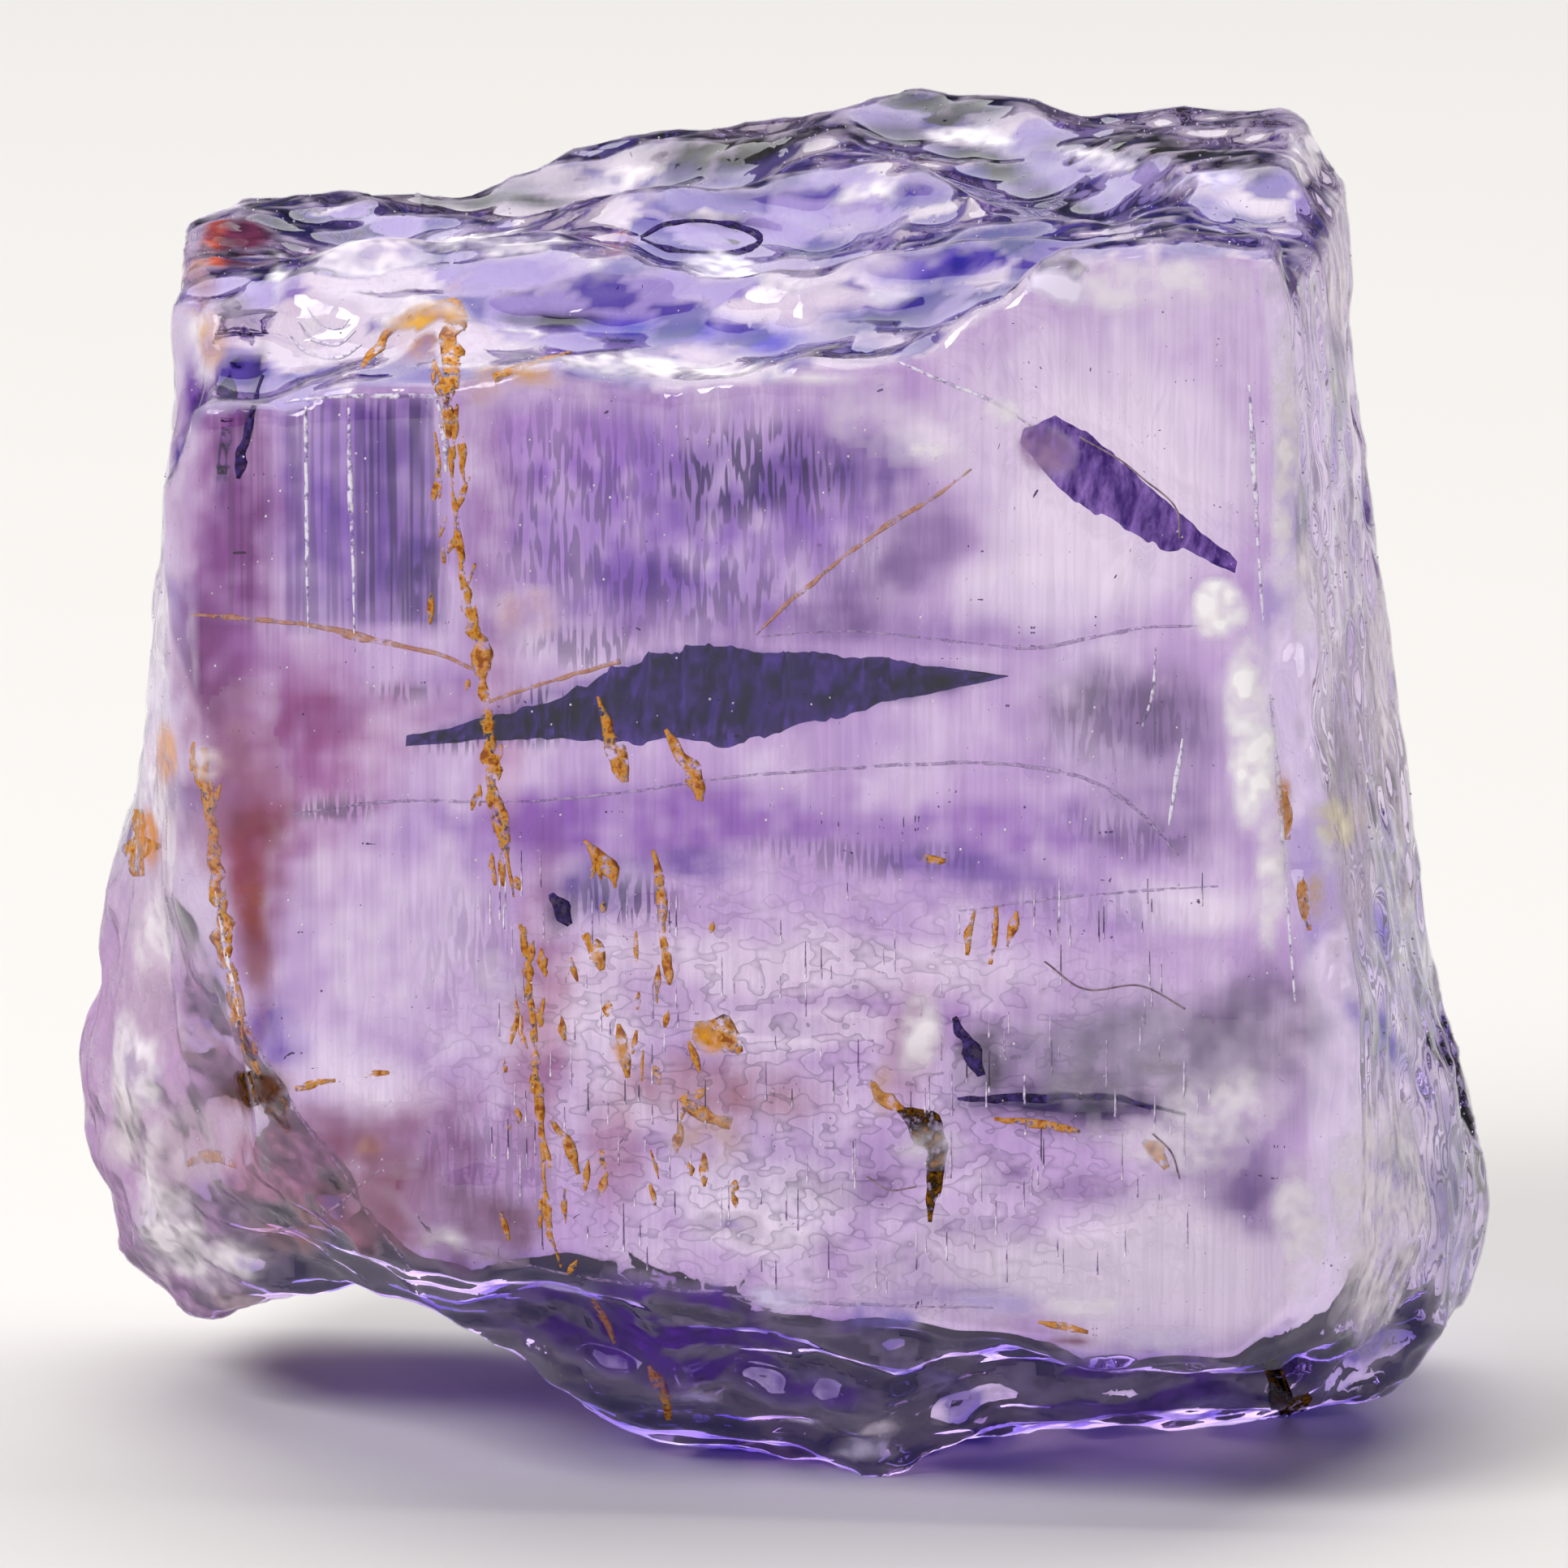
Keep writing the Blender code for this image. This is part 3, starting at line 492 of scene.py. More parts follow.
def as_mesh(made):
    """Gives an object the mesh that its modifiers make, and takes the modifiers off."""
    graph = bpy.context.evaluated_depsgraph_get()
    made.data = bpy.data.meshes.new_from_object(made.evaluated_get(graph))
    made.modifiers.clear()


def mesh_of(shape, name):
    """The named mesh of a shape that is done with."""
    mesh = bpy.data.meshes.new(name)
    shape.to_mesh(mesh)
    shape.free()
    return mesh


# Noise on points in millimetres

def hashed(cells, seed):
    """A repeatable number from 0 to 1 for each whole-numbered cell."""
    mixed = cells[:, 0] * 73856093 ^ cells[:, 1] * 19349663 ^ cells[:, 2] * 83492791 ^ seed * 40503
    mixed = (mixed ^ (mixed >> 13)) * 1274126177 & 0x7FFFFFFF
    mixed = (mixed ^ (mixed >> 11)) * 668265263 & 0x7FFFFFFF
    return ((mixed ^ (mixed >> 15)) & 0xFFFFFF) / 0xFFFFFF


def turned(points):
    """The points turned away from the axes, so that noise on them shows no level or upright edges."""
    return points @ np.array(((0.36, 0.48, -0.8), (-0.8, 0.6, 0.0), (0.48, 0.64, 0.6)))


def lumps(points, size, seed):
    """Smooth noise from -1 to 1. The size of its lumps is one length, or one for each axis."""
    grid = points / np.asarray(size, float)
    cell = np.floor(grid).astype(np.int64)
    part = grid - cell
    fade = part ** 3 * (part * (part * 6 - 15) + 10)
    total = np.zeros(len(points))
    for corner in itertools.product((0, 1), repeat=3):
        weight = np.prod(np.where(corner, fade, 1 - fade), axis=1)
        total += weight * hashed(cell + np.array(corner), seed)
    return total * 2 - 1


def scallops(points, size, seed):
    """How far each point is from the nearest of a scatter of middles, and that middle's own number.

    As a height it makes shallow bowls that meet in sharp ridges, as conchoidal fracture does."""
    grid = points / np.asarray(size, float)
    cell = np.floor(grid).astype(np.int64)
    nearest = np.full(len(points), 9.0)
    number = np.zeros(len(points))
    for offset in itertools.product((-1, 0, 1), repeat=3):
        near = cell + np.array(offset)
        middle = near + np.stack([hashed(near, seed + axis) for axis in range(3)], axis=1)
        apart = np.linalg.norm(grid - middle, axis=1)
        number = np.where(apart < nearest, hashed(near, seed + 7), number)
        nearest = np.minimum(nearest, apart)
    return nearest, number


def ramp(values, start, end):
    """0 at the start and 1 at the end, smooth between them."""
    share = np.clip((values - start) / (end - start), 0, 1)
    return share * share * (3 - 2 * share)


def oval(x, z, middle, half, turn):
    """1 in the middle of a soft oval on the front view and 0 past its edge."""
    turn = math.radians(turn)
    along = (x - middle[0]) * math.cos(turn) + (z - middle[1]) * math.sin(turn)
    across = (z - middle[1]) * math.cos(turn) - (x - middle[0]) * math.sin(turn)
    return 1 - ramp(np.hypot(along / half[0], across / half[1]), 0.35, 1.1)


def inside(outline, x, z, soft):
    """1 inside an outline of (x, z) on the front view and 0 outside, blurred over a soft width."""
    corners = np.array(outline)
    nearest = np.full(len(x), np.inf)
    within = np.zeros(len(x), bool)
    for (ax, az), (bx, bz) in zip(corners, np.roll(corners, -1, axis=0)):
        run, rise = bx - ax, bz - az
        share = np.clip(((x - ax) * run + (z - az) * rise) / (run ** 2 + rise ** 2), 0, 1)
        nearest = np.minimum(nearest, np.hypot(x - ax - share * run, z - az - share * rise))
        if az != bz:
            within ^= ((az > z) != (bz > z)) & (x < run * (z - az) / rise + ax)
    return ramp(np.where(within, nearest, -nearest), -soft, soft)


def below(line, x, z):
    """How far each point lies below a line of (x, z), and whether it is within the line's ends."""
    line_x, line_z = np.array(line).T
    ends = ramp(x, line_x[0] - 0.2, line_x[0] + 0.4) * ramp(-x, -line_x[-1] - 0.2, -line_x[-1] + 0.4)
    return np.interp(x, line_x, line_z) - z, ends


def with_turns(table, length):
    """The rows of a table, each with a turn of 0 at its end where it is given without one."""
    return [row if len(row) > length else row + (0,) for row in table]


# The body

def mesh_points(mesh):
    points = np.empty(len(mesh.vertices) * 3, np.float32)
    mesh.vertices.foreach_get("co", points)
    return points.reshape(-1, 3).astype(float)


def mesh_normals(mesh):
    normals = np.empty(len(mesh.vertices) * 3, np.float32)
    mesh.vertex_normals.foreach_get("vector", normals)
    return normals.reshape(-1, 3).astype(float)


def set_points(mesh, points):
    mesh.vertices.foreach_set("co", points.astype(np.float32).ravel())
    mesh.update()


def relax(mesh, rounds, share, where=None):
    """Moves each point part of the way to the middle of its neighbours, which wears edges round."""
    share = share if where is None else share * where
    points = mesh_points(mesh)
    ends = np.empty(len(mesh.edges) * 2, np.int32)
    mesh.edges.foreach_get("vertices", ends)
    first, second = ends.reshape(-1, 2).T
    count = np.bincount(np.concatenate([first, second]), minlength=len(points))
    for _ in range(rounds):
        for axis in range(3):
            total = np.bincount(first, points[second, axis], len(points))
            total += np.bincount(second, points[first, axis], len(points))
            points[:, axis] += share * (total / count - points[:, axis])
    set_points(mesh, points)


def fine_grained_copy(node):
    """A closed copy of the node with an even fine mesh, in millimetres."""
    shape = bmesh.new()
    shape.from_mesh(node.data)
    bmesh.ops.scale(shape, vec=(1 / MM,) * 3, verts=shape.verts)
    bmesh.ops.remove_doubles(shape, verts=shape.verts, dist=0.0005)
    coarse = mesh_of(shape, "crystal_body")
    made = add_object("crystal_body", coarse)
    remesh = made.modifiers.new("even grain", "REMESH")
    remesh.mode = "VOXEL"
    remesh.voxel_size = BODY_GRAIN
    as_mesh(made)
    bpy.data.meshes.remove(coarse)
    return made


def split_upright(mesh):
    """Splits the front face's level edges, so that upright striations have mesh fine enough."""
    shape = bmesh.new()
    shape.from_mesh(mesh)

    def on_front(edge):
        return all(vert.co.y < FRONT_Y + 0.5 and vert.normal.y < -0.85 for vert in edge.verts)

    def level(edge):
        run = edge.verts[1].co - edge.verts[0].co
        return abs(run.x) > 2 * abs(run.z)

    split = [edge for edge in shape.edges if on_front(edge) and level(edge)]
    bmesh.ops.subdivide_edges(shape, edges=split, cuts=1, use_grid_fill=True, use_single_edge=True)
    shape.to_mesh(mesh)
    shape.free()
    mesh.update()


class Places:
    """What kind of surface each point is on, as shares from 0 to 1, and where the camera sees it."""

    def __init__(self, points, normals):
        self.points = points
        self.x, self.y, self.z = points.T
        eye, back = camera_place()
        reach = (FRONT_Y - eye.y) / (self.y - eye.y)
        self.seen_x = eye.x + (self.x - eye.x) * reach
        self.seen_z = eye.z + (self.z - eye.z) * reach
        loose = turned(points)
        self.bend_x = 0.2 * lumps(loose, 0.8, 201) + 0.12 * lumps(loose, 0.3, 202)
        self.bend_z = 0.2 * lumps(loose, 0.8, 203) + 0.12 * lumps(loose, 0.3, 204)
        self.seen = ramp(normals @ np.array(back), 0.0, 0.15)
        self.front = ramp(-normals[:, 1], 0.75, 0.95) * ramp(-self.y, 3.6, 4.0)
        self.back = ramp(normals[:, 1], 0.75, 0.95)
        self.broken = ramp(np.abs(normals[:, 2]), 0.2, 0.55) * (1 - self.front)
        self.side = np.clip(1 - self.front - self.back - self.broken, 0, 1)
        self.lobe = ramp(-self.x, 5.0, 6.2) * ramp(-self.z, -7.5, -5.5) * (1 - self.front)
        self.lobe *= 1 - self.back
        self.low = ramp(-normals[:, 2], 0.1, 0.6) * ramp(-self.z, -4.0, -2.5)
        self.window = self.on_front((-3.95, 11.15), (1.35, 1.9))
        self.dashes = self.on_front((-0.5, 11.1), (3.3, 2.2))
        self.etched = self.on_front((0.9, 4.8), (5.6, 3.3))
        self.cloud = self.on_front((4.6, 5.3), (2.3, 1.2), 8)
        self.bowl_depth, self.bowl_number = scallops(points, BOWL_SIZE, 20)
        self.chip_depth, self.chip_number = scallops(points, CHIP_SIZE, 60)

    def on_front(self, middle, half, turn=0):
        return self.front * oval(self.seen_x, self.seen_z, middle, half, turn)

    def uneven_oval(self, x, z, wide, high, turn=0):
        """As an oval, but with an uneven edge, on all that the camera sees."""
        bend = min(1.0, 1.3 * min(wide, high))
        bent_x, bent_z = self.seen_x + bend * self.bend_x, self.seen_z + bend * self.bend_z
        return self.seen * oval(bent_x, bent_z, (x, z), (wide, high), turn)


def relief(here):
    """How far each point stands out, in millimetres."""
    points = here.points
    striae = lumps(points, STRIA_SIZE, 3) + 0.6 * lumps(points, BROAD_STRIA_SIZE, 4)
    dense = np.maximum(here.window, here.dashes)
    height = striae * (here.front * (FRONT_STRIA + DENSE_STRIA * dense) + here.back * BACK_STRIA)
    for drop, line in LEDGES:
        under, within = below(line, here.x, here.z)
        height -= here.front * within * drop * (under > 0) * np.exp(-np.abs(under) / LEDGE_FADE)
    rise = STEPS * (lumps(points, STEP_SIZE, 12) + 0.5 * lumps(points, FINE_STEP_SIZE, 13))
    height += here.etched * STEP_HEIGHT * (np.floor(rise) + ramp(rise % 1, 0.0, 0.5)) / STEPS
    height += here.broken * BOWL_HEIGHT * (here.bowl_depth - 0.55)
    height += here.broken * CHIP_HEIGHT * (here.chip_depth - 0.5)
    height += here.side * SIDE_HEIGHT * lumps(points, SIDE_SIZE, 41)
    height += here.side * FINE_SIDE_HEIGHT * lumps(points, FINE_SIDE_SIZE, 42)
    height += here.lobe * LOBE_HEIGHT * lumps(points, LOBE_LUMP_SIZE, 51)
    return height


def flattened(points):
    """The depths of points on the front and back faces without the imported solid's ledges.

    Finer ledges take their place in the relief."""
    x, y, z = points.T
    depth = y - FRONT_Y
    share = inside(FRONT_FACE, x, z, 0.12) * (1 - ramp(depth, *FRONT_EASED))
    share *= 1 - HOLLOW_KEPT * oval(x, z, *HOLLOW)
    front = FRONT_Y + depth * (1 - (1 - LEDGES_KEPT) * share)
    depth = BACK_Y - y
    share = inside(BACK_FACE, x, z, 0.3) * (1 - ramp(depth, *BACK_EASED))
    eased = LEDGES_KEPT * depth + DEEPER_KEPT * np.clip(depth - LEDGE_DEPTH, 0, None)
    back = BACK_Y - depth - share * (eased - depth)
    return np.where(y < 0, front, back)


def tint(here):
    """The colour that light takes on as it passes the surface, as linear red, green and blue. Some of it is
    painted light: navy on the top's far rim for its dark reflections, a painted shadow band under the long
    ledge, and darker colour round the lens as its painted dark reflection.
    """
    points = here.points
    passed = np.tile(EVERYWHERE, (len(points), 1))
    loose = turned(points)
    uneven = lumps(loose, 0.9, 77) + 0.6 * lumps(loose, 0.4, 78)
    fine = 0.4 * lumps(loose, 0.2, 79) + 0.2 * here.front * lumps(points, (0.13, 1.0, 0.9), 80)

    def bring_towards(share, seen):
        """Brings the share of each point to the colour given as it is seen against white."""
        wanted = np.clip(np.array(linear(seen)[:3]) / np.array(linear(CLEAR_SEEN)[:3]), 0, 1)
        share = np.clip(share, 0, 1)[:, None]
        passed[:] = passed * (1 - share + share * wanted)

    haze = 0.8 + 0.35 * uneven + 0.4 * fine
    for place in CLEAR:
        haze *= 1 - 0.95 * here.uneven_oval(*place)
    bring_towards(here.front * haze, FRONT_SEEN)
    for *place, seen, strength, turn in with_turns(TINTS, 6):
        bring_towards(here.uneven_oval(*place, turn) * strength * (0.9 + 0.3 * uneven + fine), seen)
    for outline, seen, strength, soft in OUTLINED:
        bring_towards(inside(outline, here.seen_x, here.seen_z, soft) * here.front * strength * (1 + fine), seen)
    # Painted dark reflection: navy along the far rim of the broken top
    far_rim_reflection = here.broken * ramp(here.y, 1.5, 3.8) * ramp(here.z, 10, 11)
    bring_towards(far_rim_reflection * (0.5 + 0.5 * uneven), FAR_RIM_DARK_REFLECTION)
    bring_towards(here.broken * ramp(here.bowl_number + 0.1 * uneven, 0.5, 0.58) * 0.7, BOWLS_SEEN)
    bring_towards(here.broken * ramp(here.chip_number + 0.1 * uneven, 0.6, 0.66) * 0.8, CHIPS_SEEN)
    bring_towards(here.low * (0.6 + 0.3 * uneven), UNDERSIDE_SEEN)
    bring_towards(here.side * (0.25 + 0.5 * ramp(uneven, 0.1, 0.5)), SIDES_SEEN)
    bring_towards(here.lobe * 0.5, LOBE_SEEN)
    bring_towards(here.back * ramp(uneven, 0.1, 0.9) * 0.25, BACK_SEEN)
    return np.clip(passed, 0.04, 1) ** 2


def frost_and_shade(here):
    """Four shares for the material: frosted, and the lined, dashed and etched shares where it paints shade on
    striations, dashes and the foot of etched steps.
    """
    frosted = 0.35 * here.window + 0.3 * here.dashes + 0.2 * here.etched + 0.5 * here.cloud
    frosted += 0.15 * here.side + 0.35 * here.lobe
    frosted = np.clip(frosted * (1 + 0.5 * lumps(here.points, 0.6, 91)) - 0.2, 0, 1)
    window, dark_end, beside = (here.front * inside(outline, here.seen_x, here.seen_z, soft)
                                for (outline, _, _, _), soft in zip(OUTLINED, (0.08, 0.2, 0.2)))
    shaded_lines = 0.5 * window + 0.45 * dark_end + 0.35 * beside + 0.16 * here.front + 0.12 * here.back
    shaded_dashes = np.zeros(len(here.x))
    for *place, strength, turn in with_turns(SHADED_DASHES, 5):
        shaded_dashes = np.maximum(shaded_dashes, here.front * here.uneven_oval(*place, turn) * strength)
    return np.stack([frosted, np.clip(shaded_lines, 0, 1), shaded_dashes, here.etched], axis=1)


def film_cover(here, convex):
    """The weathered film's colour, and last how thick it is: on worn places and along sharp ridges, and where
    highlights are painted on as white flashes of light.
    """
    facets = 0.25 + 0.75 * ramp(here.chip_number, 0.36, 0.42)
    cover = 0.30 * ramp(convex, 0.02, 0.10) * (here.side + here.broken * (1 - here.low) + here.lobe)
    cover = np.maximum(cover, here.lobe * 0.7)
    colour = np.tile(np.array(linear(FILM_SHADE)[:3]), (len(cover), 1))
    colour += (np.array(linear(LOBE_SHADE)[:3]) - colour) * here.lobe[:, None]
    milky_and_highlights = [row[:4] + (MILKY_AND_HIGHLIGHT_WHITE,) + row[4:] for row in MILKY_AND_HIGHLIGHT_PLACES]
    for *place, shade, strength, turn in with_turns((*WHITEST_HIGHLIGHTS, *milky_and_highlights, *FILM_STAINS_AND_HIGHLIGHTS), 6):
        share = here.uneven_oval(*place, turn) * strength
        share *= 1 - here.broken * (1 - facets)
        colour += (np.array(linear(shade)[:3]) - colour) * np.clip(share * 2, 0, 1)[:, None]
        cover = np.maximum(cover, share)
    cover = np.clip(cover * (1 + 0.6 * lumps(turned(here.points), 0.4, 95)), 0, 2)
    return np.column_stack([colour, cover])


def store(mesh, name, values):
    """Keeps three or four numbers for each point of a mesh, for its material to read."""
    colours = np.ones((len(values), 4), np.float32)
    colours[:, :values.shape[1]] = values
    mesh.attributes.new(name, "FLOAT_COLOR", "POINT").data.foreach_set("color", colours.ravel())


def crystal_body():
    """The whole crystal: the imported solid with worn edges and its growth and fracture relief."""
    body = fine_grained_copy(frame["nodes"]["scapolite_crystal"])
    mesh = body.data
    relax(mesh, WEAR_ROUNDS, WEAR_SHARE)
    points = mesh_points(mesh)
    points[:, 1] = flattened(points)
    set_points(mesh, points)
    x, y, z = points.T
    smooth = np.max([oval(x, z, *place) for place in SMOOTH_PLACES], axis=0) * (y < FRONT_Y + SMOOTH_DEPTH)
    relax(mesh, SMOOTH_ROUNDS, WEAR_SHARE, smooth)
    split_upright(mesh)
    points = mesh_points(mesh)
    normals = mesh_normals(mesh)
    here = Places(points, normals)
    store(mesh, "tint", tint(here))
    store(mesh, "frost_and_shade", frost_and_shade(here))
    points += normals * relief(here)[:, None]
    points[:, 2] = np.where(points[:, 2] < REST_HEIGHT, 0, points[:, 2])
    set_points(mesh, points)
    cover = film_cover(here, convexity(mesh))
    set_points(mesh, points * MM)
    mesh.shade_smooth()
    mesh.materials.clear()
    mesh.materials.append(clear_scapolite())
    return body, cover


def convexity(mesh):
    """How far each point stands out from the middle of its neighbours, as a share of the grain."""
    before = mesh_points(mesh)
    normals = mesh_normals(mesh)
    relax(mesh, 2, 0.9)
    after = mesh_points(mesh)
    set_points(mesh, before)
    return np.einsum("ij,ij->i", before - after, normals) / BODY_GRAIN


def weathered_film_and_highlights(body, cover):
    """A thin milky film over the worn parts of the body, closed all round, which also carries the painted
    highlights.
    """
    shape = bmesh.new()
    shape.from_mesh(body.data)
    layer = shape.verts.layers.float_color.new("film")
    for vert, value in zip(shape.verts, cover):
        vert[layer] = value
    bare = [face for face in shape.faces if max(vert[layer][3] for vert in face.verts) < FILM_LEAST]
    bmesh.ops.delete(shape, geom=bare, context="FACES")
    for name in ("tint", "frost_and_shade"):
        shape.verts.layers.float_color.remove(shape.verts.layers.float_color[name])
    for vert in shape.verts:
        vert.co += vert.normal * FILM_LIFT * MM
    film = add_object("weathered_film_and_highlights", mesh_of(shape, "weathered_film_and_highlights"))
    wall = film.modifiers.new("wall", "SOLIDIFY")
    wall.thickness = FILM_WALL * MM
    wall.offset = 1.0
    as_mesh(film)
    film.data.materials.clear()
    film.data.materials.append(milky_weathering_and_highlights())
    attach(film, "root")
    return film


# Pieces on and in the crystal

def camera_place():
    azimuth, elevation = math.radians(CAMERA_AZIMUTH), math.radians(CAMERA_ELEVATION)
    back = Vector((math.sin(azimuth) * math.cos(elevation), -math.cos(azimuth) * math.cos(elevation),
                   math.sin(elevation)))
    return Vector(CAMERA_AIM) + back * CAMERA_DISTANCE, back


class Surface:
    """The finished body's surface, in millimetres, for pieces that lie on it."""

    def __init__(self, body):
        points = [vert.co / MM for vert in body.data.vertices]
        faces = [tuple(face.vertices) for face in body.data.polygons]
        self.tree = BVHTree.FromPolygons(points, faces)
        self.eye = camera_place()[0]

    def seen_at(self, x, z):
        """Where the camera's line of sight through (x, z) on the front plane meets the body."""
        way = (Vector((x, FRONT_Y, z)) - self.eye).normalized()
        place, normal, _, _ = self.tree.ray_cast(self.eye, way)
        if place is None:
            place, normal, _, _ = self.tree.find_nearest(Vector((x, FRONT_Y, z)))
        return place, normal


def smooth_path(stops, spacing):
    """Points at an even spacing along a smooth curve through stops of (x, z, half width)."""
    stops = np.array(stops, float)
    ends = np.vstack([2 * stops[0] - stops[1], stops, 2 * stops[-1] - stops[-2]])
    path = []
    for before, start, end, after in zip(ends, ends[1:], ends[2:], ends[3:]):
        count = max(2, int(np.linalg.norm((end - start)[:2]) / spacing))
        for part in np.arange(count) / count:
            bend = 2 * start - 2 * end + (end - before) / 2 + (after - start) / 2
            slant = -3 * start + 3 * end - (end - before) - (after - start) / 2
            path.append(start + part * ((end - before) / 2 + part * (slant + part * bend)))
    path.append(stops[-1])
    return np.array(path)


def close_rings(shape, rings):
    """Joins rings of five points each into a tube that is closed at its ends."""
    for ring, after in zip(rings, rings[1:]):
        for a, b in zip(range(5), (1, 2, 3, 4, 0)):
            shape.faces.new((ring[a], ring[b], after[b], after[a]))
    shape.faces.new(rings[0])
    shape.faces.new(rings[-1])


def add_crust(shape, surface, stops, seed, proud, ragged):
    """Adds a flat ragged ribbon that lies along a path on the body, closed at its ends."""
    path = smooth_path(stops, RIBBON_STEP)
    along = np.gradient(path[:, :2], axis=0)
    along /= np.linalg.norm(along, axis=1)[:, None] + 1e-9
    steps = np.arange(len(path)) * RIBBON_STEP
    left, right = (lumps(np.stack([steps, steps * 0 + row, steps * 0], 1), NOTCH_SIZE, seed)
                   for row in (3, 7))
    rings = []
    for number, (x, z, half) in enumerate(path):
        start = -half * (1 + ragged * left[number])
        end = half * (1 + ragged * right[number])
        ring = []
        for reach, lift in ((start, 0), (start / 2, proud), (end / 2, proud), (end, 0), (0, -RIBBON_SUNK)):
            across = x - along[number][1] * reach, z + along[number][0] * reach
            place, normal = surface.seen_at(*across)
            ring.append(shape.verts.new(place + normal * lift))
        rings.append(ring)
    close_rings(shape, rings)


def finish_piece(shape, name, material):
    """A named piece of the crystal from shapes in millimetres."""
    bmesh.ops.recalc_face_normals(shape, faces=shape.faces)
    bmesh.ops.scale(shape, vec=(MM,) * 3, verts=shape.verts)
    made = add_object(name, mesh_of(shape, name))
    made.data.shade_smooth()
    made.data.materials.append(material)
    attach(made, "root")
    return made


# Ribbons on the crystal, in millimetres: the spacing of their points, how far they reach into the
# body, the waves of their ragged edges, and the half width of a fleck's tips
RIBBON_STEP = 0.05
RIBBON_SUNK = 0.03
NOTCH_SIZE = (0.14, 1, 1)
FLECK_TIP = 0.012

# Their paths of (x, z, half width), as the camera sees them
MAIN_VEIN = (
    ((-2.93, 13.6, 0.07), (-2.95, 13.1, 0.11), (-3.03, 12.4, 0.07), (-2.99, 11.9, 0.03),
     (-2.93, 11.2, 0.03), (-2.82, 10.4, 0.05), (-2.68, 9.8, 0.09), (-2.58, 9.0, 0.06), (-2.55, 8.3, 0.1),
     (-2.42, 7.7, 0.05), (-2.3, 7.0, 0.02)),
    ((-2.22, 6.7, 0.02), (-2.16, 6.3, 0.04), (-2.1, 5.6, 0.03), (-2.04, 4.8, 0.04), (-1.99, 4.1, 0.02),
     (-1.95, 3.4, 0.03), (-1.8, 2.85, 0.02)),
    ((-3.95, 12.85, 0.03), (-3.6, 13.3, 0.07), (-3.2, 13.55, 0.04), (-2.9, 13.6, 0.02)),
    ((-2.5, 12.75, 0.04), (-2.0, 12.95, 0.03), (-1.65, 13.05, 0.02)),
)
EDGE_VEIN = (
    ((-5.73, 8.6, 0.03), (-5.7, 8.1, 0.06), (-5.66, 7.6, 0.05), (-5.6, 7.1, 0.07), (-5.55, 6.6, 0.1),
     (-5.47, 6.1, 0.07), (-5.4, 5.7, 0.05), (-5.25, 5.2, 0.07), (-5.15, 4.95, 0.03)),
    ((-6.5, 7.9, 0.05), (-6.46, 7.5, 0.14), (-6.44, 7.15, 0.07)),
)
FLAMES = (
    ((-1.37, 9.25, 0.02), (-1.26, 8.9, 0.07), (-1.14, 8.6, 0.11), (-1.08, 8.3, 0.04)),
    ((-0.62, 8.9, 0.02), (-0.45, 8.6, 0.07), (-0.3, 8.35, 0.11), (-0.25, 8.1, 0.04)),
    ((-1.52, 7.65, 0.03), (-1.37, 7.45, 0.09), (-1.22, 7.3, 0.08), (-1.18, 7.12, 0.02)),
    ((-0.76, 7.55, 0.02), (-0.68, 7.1, 0.06), (-0.66, 6.7, 0.04), (-0.6, 6.3, 0.06), (-0.58, 6.05, 0.02)),
    ((-1.52, 6.6, 0.04), (-1.4, 6.4, 0.09), (-1.32, 6.2, 0.03)),
    ((-0.32, 5.55, 0.1), (-0.12, 5.5, 0.19), (0.1, 5.42, 0.17), (0.2, 5.3, 0.06)),
    ((2.2, 7.55, 0.03), (2.34, 7.51, 0.05), (2.46, 7.5, 0.02)),
    ((2.78, 6.95, 0.02), (2.72, 6.7, 0.04), (2.7, 6.45, 0.02)),
    ((3.02, 7.0, 0.02), (3.0, 6.7, 0.03), (2.96, 6.35, 0.02)),
    ((3.24, 6.95, 0.02), (3.2, 6.75, 0.05), (3.14, 6.55, 0.02)),
    ((3.0, 4.62, 0.02), (3.3, 4.6, 0.04), (3.6, 4.57, 0.05), (3.95, 4.5, 0.02)),
    ((4.65, 4.42, 0.04), (4.8, 4.28, 0.1), (4.92, 4.12, 0.04)),
    ((-1.45, 2.5, 0.02), (-1.3, 2.25, 0.05), (-1.2, 2.0, 0.02)),
    ((-0.82, 1.75, 0.03), (-0.67, 1.45, 0.07), (-0.6, 1.15, 0.03)),
    ((3.5, 2.35, 0.02), (3.8, 2.3, 0.04), (4.05, 2.25, 0.02)),
    ((-4.75, 4.8, 0.03), (-4.55, 4.86, 0.06), (-4.3, 4.9, 0.03)),
    ((-4.0, 4.95, 0.02), (-3.86, 4.98, 0.05), (-3.7, 5.0, 0.02)),
    ((-1.9, 4.5, 0.03), (-1.7, 4.2, 0.06), (-1.6, 3.9, 0.03)),
    ((-1.15, 5.6, 0.03), (-1.1, 5.3, 0.07), (-1.05, 5.0, 0.03)),
    ((-0.45, 4.8, 0.05), (-0.2, 4.6, 0.1), (0.1, 4.5, 0.05)),
    ((1.65, 5.0, 0.03), (1.8, 4.8, 0.09), (2.0, 4.7, 0.04)),
    ((6.15, 8.4, 0.03), (6.18, 8.1, 0.07), (6.2, 7.8, 0.03)),
    ((6.35, 7.4, 0.03), (6.4, 7.1, 0.07), (6.45, 6.8, 0.03)),
    ((-6.0, 3.9, 0.03), (-5.7, 4.0, 0.07), (-5.4, 3.9, 0.03)),
)
